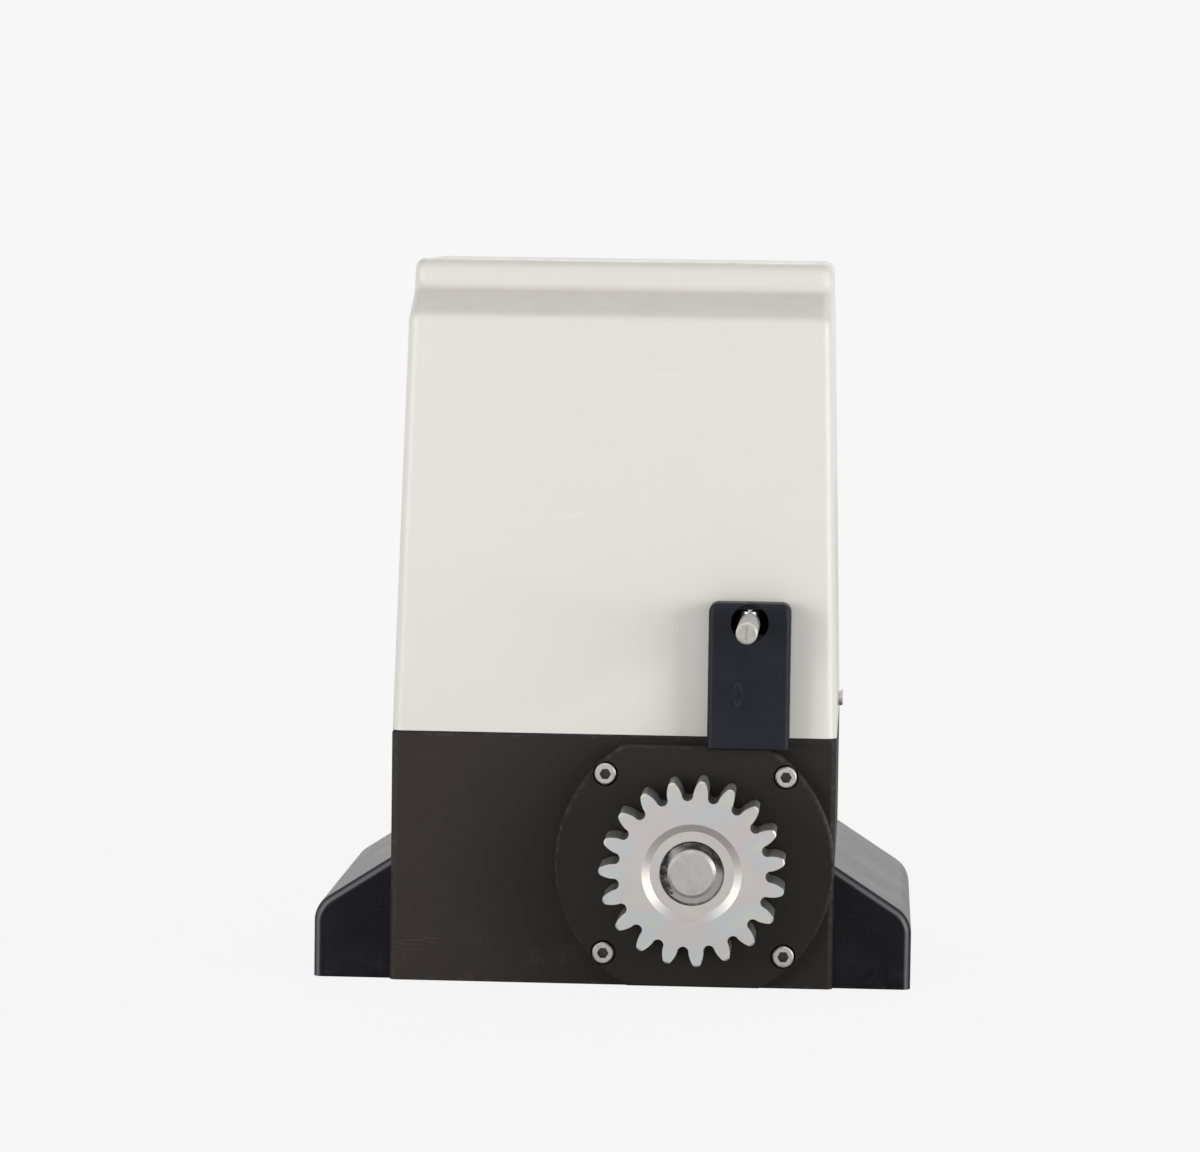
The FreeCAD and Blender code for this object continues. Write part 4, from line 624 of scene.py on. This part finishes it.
def laminations():
    look = laminationLook
    finish = Finish("laminations", Metallic=0.6)
    leaves = finish.axes()[2].waves(look["leaf"])
    varnish = finish.cloud(11, detail=4.0, seed=3.0)
    base = finish.mix(leaves.fade(-0.6, 0.8) * 0.55, shade(look["colour"], 0.55), shade(look["colour"], 1.35))
    base = finish.mix(varnish.fade(0.50, 0.70) * 0.5, base, look["varnish"])
    finish.feed(Base_Color=base, Roughness=look["rough"] + varnish * 0.22 - leaves * 0.04)
    finish.relief(leaves, 0.10)
    return finish.material


wireLook = {"colour": (0.56, 0.22, 0.075), "lacquer": (0.30, 0.11, 0.03), "wire": 0.9 * mm, "rough": 0.26}


def enamelledWire():
    look = wireLook
    finish = Finish("enamelledWire", Metallic=0.85)
    turn = finish.around(middleOf("stator_windings"), "z")
    height = finish.axes()[2] * (2 * math.pi / look["wire"])
    wires = (height + turn * 3 + finish.cloud(6, seed=2.0) * 9).sine()
    lacquer = finish.cloud(7, detail=4.0, seed=4.0)
    base = finish.mix(wires.fade(-0.7, 0.8), shade(look["colour"], 0.40), look["colour"])
    base = finish.mix(lacquer.fade(0.52, 0.70) * 0.5, base, look["lacquer"])
    finish.feed(Base_Color=base, Roughness=look["rough"] + lacquer * 0.18)
    finish.relief(wires, 0.25)
    return finish.material


canLook = {"colour": (0.52, 0.52, 0.53), "scrape": (0.75, 0.75, 0.74), "rough": 0.34}


def capacitorCan():
    look = canLook
    finish = Finish("capacitorCan", Specular_IOR_Level=0.5)
    film = finish.cloud(12, detail=4.0, seed=3.0)
    orange = finish.cloud(0.8, detail=2.0)
    scrape = finish.cloud(0.9, detail=2.0, stretch=(1, 1, 10), seed=6.0).fade(0.64, 0.70)
    base = finish.mix(film.fade(0.42, 0.70), look["colour"], shade(look["colour"], 0.88))
    base = finish.mix(scrape * 0.35, base, look["scrape"])
    finish.feed(Base_Color=base, Roughness=look["rough"] + film * 0.18 + scrape * 0.15)
    finish.relief(orange, 0.02)
    return finish.material


# Electrics.
boardLook = {
    "mask": (0.022, 0.150, 0.060),
    "track": (0.045, 0.230, 0.085),
    "pad": (0.55, 0.54, 0.50),
    "rough": 0.30,
    "stripe": 3.0 * mm,
}


def circuitBoard():
    look = boardLook
    finish = Finish("circuitBoard", Specular_IOR_Level=0.5)
    x, _, z = finish.axes()
    runs = finish.cells(3.2, feature="DISTANCE_TO_EDGE").fade(0.05, 0.09)
    stripes = (x + z).waves(look["stripe"]).fade(0.25, 0.45)
    field = finish.cloud(24, detail=2.0, seed=4.0)
    copper = (1 - runs).most(stripes * field.fade(0.50, 0.53))
    pads = 1 - finish.cells(5.4).fade(0.14, 0.17)
    base = finish.mix(copper * 0.6, look["mask"], look["track"])
    base = finish.mix(pads * 0.9, base, look["pad"])
    base = finish.mix(field.fade(0.45, 0.75) * 0.25, base, shade(look["mask"], 0.5))
    finish.feed(Base_Color=base, Roughness=look["rough"] + field * 0.14 + pads * 0.05, Metallic=pads * 0.8)
    finish.relief(copper * 0.5 + pads, 0.05)
    return finish.material


mouldedLook = {"dust": (0.22, 0.20, 0.17)}


# Moulded plastic of one colour, with a fine grain, rubbed places and a little dust.
def moulded(name, colour, rough, grain=0.6, depth=0.02, rubbed=1.6, sheen=0.45):
    finish = Finish(name, Specular_IOR_Level=sheen)
    broad = finish.cloud(18, detail=4.0, seed=3.0)
    fine = finish.cloud(grain, detail=2.0)
    rub = finish.cloud(1.1, detail=3.0, stretch=(1, 1, 7), seed=7.0).fade(0.62, 0.70)
    patchy = finish.cloud(4, detail=5.0, rough=0.7, seed=5.0).fade(0.45, 0.70)
    dust = finish.facing()[2].fade(0.5, 0.95) * patchy
    base = finish.mix(broad.fade(0.40, 0.70), colour, shade(colour, 1.25))
    base = finish.mix(rub * 0.30, base, shade(colour, rubbed))
    base = finish.mix(dust * 0.18, base, mouldedLook["dust"])
    finish.feed(Base_Color=base, Roughness=rough + broad * 0.14 + dust * 0.15 - rub * 0.06)
    finish.relief(fine * 0.7 + finish.cloud(5, detail=1.0, seed=2.0) * 0.6, depth)
    return finish.material


rubberLook = {"colour": (0.022, 0.021, 0.021), "bloom": (0.050, 0.049, 0.047), "rough": 0.62}


def pressedRubber():
    look = rubberLook
    finish = Finish("pressedRubber", Specular_IOR_Level=0.25)
    bloom = finish.cloud(9, detail=5.0, rough=0.65, seed=4.0)
    skin = finish.cloud(0.7, detail=4.0, rough=0.7)
    base = finish.mix(bloom.fade(0.42, 0.70), look["colour"], look["bloom"])
    finish.feed(Base_Color=base, Roughness=look["rough"] + bloom * 0.22)
    finish.relief(skin, 0.03)
    return finish.material


sealLook = {"colour": (0.045, 0.022, 0.016), "rough": 0.48, "turning": 0.8 * mm}


def sealRubber():
    look = sealLook
    finish = Finish("sealRubber", Specular_IOR_Level=0.4)
    rings = finish.away(middleOf("shaft_seal"), "y").waves(look["turning"])
    grease = finish.cloud(5, detail=4.0, seed=3.0)
    base = finish.mix(grease.fade(0.42, 0.70), look["colour"], shade(look["colour"], 0.5))
    finish.feed(Base_Color=base, Roughness=look["rough"] - grease * 0.22)
    finish.relief(rings * 0.5 + grease * 0.5, 0.04)
    return finish.material


brassLook = {
    "colour": (0.66, 0.47, 0.19),
    "tarnish": (0.36, 0.22, 0.08),
    "rough": 0.24,
    "turning": 0.5 * mm,
}


def turnedBrass():
    look = brassLook
    finish = Finish("turnedBrass", Metallic=1.0)
    rings = finish.away(middleOf("lock_barrel"), "y").waves(look["turning"])
    tarnish = finish.cloud(3.4, detail=5.0, rough=0.6, seed=6.0)
    base = finish.mix(tarnish.fade(0.42, 0.68) * 0.8, look["colour"], look["tarnish"])
    finish.feed(Base_Color=base, Roughness=look["rough"] + tarnish * 0.26)
    finish.relief(rings * 0.4 + tarnish * 0.6, 0.015)
    return finish.material


switchLook = {
    "colour": (0.0092, 0.0106, 0.0152),
    "mark": (0.034, 0.038, 0.048),
    "markAcross": 0.366,
    "markDown": 0.629,
    "markSize": (0.062, 0.083),
    "rough": 0.38,
}


# The case plastic, with a pale ring painted as a highlight round the oval mark that the mould left on its
# front.
def casePlastic():
    look = switchLook
    finish = Finish("casePlastic", Specular_IOR_Level=0.20)
    low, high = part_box("limit_case")
    width, height = high.x - low.x, high.z - low.z
    x, y, z = finish.axes()
    markWidth, markHeight = look["markSize"]
    across = (x - (low.x + width * look["markAcross"])) / (width * markWidth)
    upward = (z - (high.z - height * look["markDown"])) / (height * markHeight)
    oval = (across * across + upward * upward) ** 0.5
    ring = oval.fade(0.62, 0.80) * (1 - oval.fade(1.00, 1.16)) * (1 - (y - low.y).fade(0.0004, 0.0012))
    broad = finish.cloud(18, detail=4.0, seed=3.0)
    fine = finish.cloud(0.5, detail=2.0)
    rub = finish.cloud(1.1, detail=3.0, stretch=(1, 1, 7), seed=7.0).fade(0.62, 0.70)
    base = finish.mix(broad.fade(0.40, 0.70), look["colour"], shade(look["colour"], 1.25))
    base = finish.mix(rub * 0.30, base, shade(look["colour"], 2.2))
    # Painted highlight on the rim of the oval mark.
    base = finish.mix(ring * (0.5 + rub * 0.5), base, look["mark"])
    finish.feed(Base_Color=base, Roughness=look["rough"] + broad * 0.14 - rub * 0.06 - ring * 0.06)
    finish.relief(fine * 0.7 + finish.cloud(5, detail=1.0, seed=2.0) * 0.6, 0.02)
    return finish.material


leverLook = {"colour": (0.024, 0.024, 0.026), "rough": 0.48}
relayLook = {"colour": (0.022, 0.022, 0.025), "rough": 0.30}
terminalLook = {"colour": (0.040, 0.220, 0.085), "rough": 0.38}


# Which finish each piece has.
finishes = {
    "cast_dark": castingPaint(),
    "flange_dark": flangePaint(),
    "cast_plain": castAluminium(),
    "cover_plastic": coverPlastic(),
    "gasket_rubber": pressedRubber(),
    "foot_plastic": footPlastic(),
    "screw_steel": screwSteel("screwSteel"),
    "seal_rubber": sealRubber(),
    "bearing_steel": groundSteel(),
    "shaft_steel": turnedShaft(),
    "zinc_steel": platedPinion(),
    "spring_steel": springSteel(),
    "bronze": wheelBronze(),
    "lamination": laminations(),
    "copper": enamelledWire(),
    "capacitor_can": capacitorCan(),
    "brass": turnedBrass(),
    "circuit_board": circuitBoard(),
    "relay_plastic": moulded("relayPlastic", relayLook["colour"], relayLook["rough"], grain=0.8),
    "terminal_plastic": moulded("terminalPlastic", terminalLook["colour"], terminalLook["rough"], grain=0.5),
    "switch_plastic": moulded("switchPlastic", switchLook["colour"], switchLook["rough"], grain=0.5,
                              depth=0.02, rubbed=2.2, sheen=0.20),
    "lever_plastic": moulded("leverPlastic", leverLook["colour"], leverLook["rough"], grain=0.5,
                             depth=0.05, rubbed=2.0, sheen=0.25),
}
plate = platedSheet()
ownFinish = {
    "flange_screws": screwSteel("flangeScrewSteel", socketsOf="flange_screws"),
    "circlip": circlipSteel(),
    "spring_tip": screwSteel("springTipSteel"),
    "limit_case": casePlastic(),
    "mounting_bracket_left": plate,
    "mounting_bracket_right": plate,
}
for part in frame["record"]["subparts"]:
    piece = frame["nodes"][part["node"]]
    material = ownFinish.get(part["node"], finishes[part["material_slot"]])
    if not piece.material_slots:
        piece.data.materials.append(material)
    for pocket in piece.material_slots:
        pocket.material = material


# Limit spring.
springForm = {"wire": 1.5 * mm, "gap": 0.18 * mm, "ringPoints": 10, "turnPoints": 28}


# A round wire drawn along a row of points.
def wireMesh(name, points, radius, ringPoints):
    mesh = bpy.data.meshes.new(name)
    built = bmesh.new()
    rings = []
    for index, point in enumerate(points):
        ahead = points[min(index + 1, len(points) - 1)]
        behind = points[max(index - 1, 0)]
        course = (ahead - behind).normalized()
        side = course.cross(Vector((0, 1, 0))).normalized()
        upward = side.cross(course).normalized()
        ring = []
        for step in range(ringPoints):
            turn = 2 * math.pi * step / ringPoints
            ring.append(built.verts.new(point + (side * math.cos(turn) + upward * math.sin(turn)) * radius))
        rings.append(ring)
    for first, second in zip(rings, rings[1:]):
        for step in range(ringPoints):
            following = (step + 1) % ringPoints
            face = built.faces.new((first[step], second[step], second[following], first[following]))
            face.smooth = True
    built.faces.new(rings[-1][::-1])
    built.faces.new(rings[0])
    bmesh.ops.recalc_face_normals(built, faces=built.faces)
    built.to_mesh(mesh)
    built.free()
    return mesh


def limitSpring():
    form = springForm
    low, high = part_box("limit_spring")
    middle = (low + high) / 2
    outer = (high.x - low.x) / 2
    wireRadius = form["wire"] / 2
    coilRadius = outer - wireRadius
    pitch = form["wire"] + form["gap"]
    length = high.y - low.y - form["wire"]
    turns = length / pitch
    count = int(turns * form["turnPoints"])
    points = []
    for step in range(count + 1):
        turn = 2 * math.pi * turns * step / count
        along = high.y - wireRadius - length * step / count
        points.append(Vector((middle.x + coilRadius * math.cos(turn), along,
                              middle.z + coilRadius * math.sin(turn))))
    mesh = wireMesh("limitSpringCoil", points, wireRadius, form["ringPoints"])
    spring = bpy.data.objects.new("limitSpringCoil", mesh)
    scene.collection.objects.link(spring)
    spring.data.materials.append(finishes["spring_steel"])
    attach(spring, "switch_lever")
    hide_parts("limit_spring")
    return spring


spring = limitSpring()
print("limit spring: %d faces" % len(spring.data.polygons))


# Floor, backdrop and light.
studio = {
    "floorColour": (0.86, 0.86, 0.855),
    "backColour": (0.930, 0.930, 0.930),
    "ambient": 0.36,
    "glowNear": 0.96,
    "plain": (0.25, 0.95),
}
lamps = {
    "keyLeft": {"place": (-1.05, -1.15, 0.34), "target": (0, 0, 0.14), "size": (0.6, 0.8), "power": 10.5},
    "keyRight": {"place": (1.30, -0.80, 0.30), "target": (0, 0, 0.14), "size": (0.6, 0.8), "power": 12.5},
    "topFill": {"place": (0.0, 0.2, 1.5), "target": (0, 0.1, 0.1), "size": (1.1, 1.1), "power": 1.7},
    "rearFill": {"place": (0.2, 1.25, 1.35), "target": (0, 0, 0.15), "size": (1.1, 0.7), "power": 7.0},
}


def floorFinish():
    finish = Finish("studioFloor", Roughness=0.85, Specular_IOR_Level=0.1)
    tree = finish.tree
    speckle = finish.cloud(3, detail=3.0)
    colour = studio["floorColour"]
    finish.feed(Base_Color=finish.mix(speckle * 0.06, colour, shade(colour, 0.94)))
    output = tree.nodes["Material Output"]
    glow = finish.node("ShaderNodeEmission", None, {"Color": solid(studio["backColour"]), "Strength": 1.0})
    seen = finish.node("ShaderNodeLightPath", output="Is Camera Ray")
    near, far = studio["plain"]
    share = studio["glowNear"] + finish.away((0, 0, 0), "z").fade(near, far) * (1 - studio["glowNear"])
    plain = Value(finish, finish.shader.outputs[0])
    both = finish.node("ShaderNodeMixShader", None, (share * seen, plain, glow))
    tree.links.new(both.socket, output.inputs["Surface"])
    return finish.material


def studioFloor():
    mesh = bpy.data.meshes.new("studioFloor")
    reach = 4.0
    rise = -0.0004
    corners = [(-reach, -reach, rise), (reach, -reach, rise), (reach, reach, rise), (-reach, reach, rise)]
    mesh.from_pydata(corners, [], [(0, 1, 2, 3)])
    floor = bpy.data.objects.new("studioFloor", mesh)
    scene.collection.objects.link(floor)
    floor.data.materials.append(floorFinish())


def softLight(name, place, target, size, power):
    light = bpy.data.lights.new(name, "AREA")
    light.shape = "RECTANGLE"
    light.size, light.size_y = size
    light.energy = power
    lamp = bpy.data.objects.new(name, light)
    lamp.location = place
    lamp.rotation_euler = (Vector(target) - Vector(place)).to_track_quat("-Z", "Y").to_euler()
    scene.collection.objects.link(lamp)


# The world lights the object softly, and seen or mirrored it is the plain backdrop.
def studioWorld():
    world = bpy.data.worlds.new("studio")
    world.use_nodes = True
    scene.world = world
    tree = world.node_tree
    tree.nodes.remove(tree.nodes["Background"])
    nodes = Nodes(tree)
    light = nodes.node("ShaderNodeBackground", None, {"Color": (1, 1, 1, 1), "Strength": studio["ambient"]})
    back = nodes.node("ShaderNodeBackground", None, {"Color": solid(studio["backColour"])})
    seen = nodes.node("ShaderNodeLightPath", output="Is Camera Ray")
    for ray in ("Is Glossy Ray", "Is Transmission Ray"):
        seen = seen.most(nodes.node("ShaderNodeLightPath", output=ray))
    mixed = nodes.node("ShaderNodeMixShader", None, (seen, light, back))
    tree.links.new(mixed.socket, tree.nodes["World Output"].inputs["Surface"])


studioFloor()
studioWorld()
for name, lamp in lamps.items():
    softLight(name, **lamp)
scene.view_settings.view_transform = "Standard"
print("studio: floor, world and %d lamps" % len(lamps))


# Camera.
cameraLook = {
    "place": (0.1145, -2.1462, 0.3505),
    "tilt": (85.473, -0.78, 3.444),
    "lens": 136.62,
    "sensor": 36.0,
}


def placeCamera():
    data = bpy.data.cameras.new("camera")
    data.sensor_width = cameraLook["sensor"]
    data.sensor_fit = "HORIZONTAL"
    data.lens = cameraLook["lens"]
    data.clip_start = 0.05
    camera = bpy.data.objects.new("camera", data)
    camera.location = cameraLook["place"]
    camera.rotation_euler = Euler([math.radians(angle) for angle in cameraLook["tilt"]], "XYZ")
    scene.collection.objects.link(camera)
    scene.camera = camera


placeCamera()
print("camera: placed")
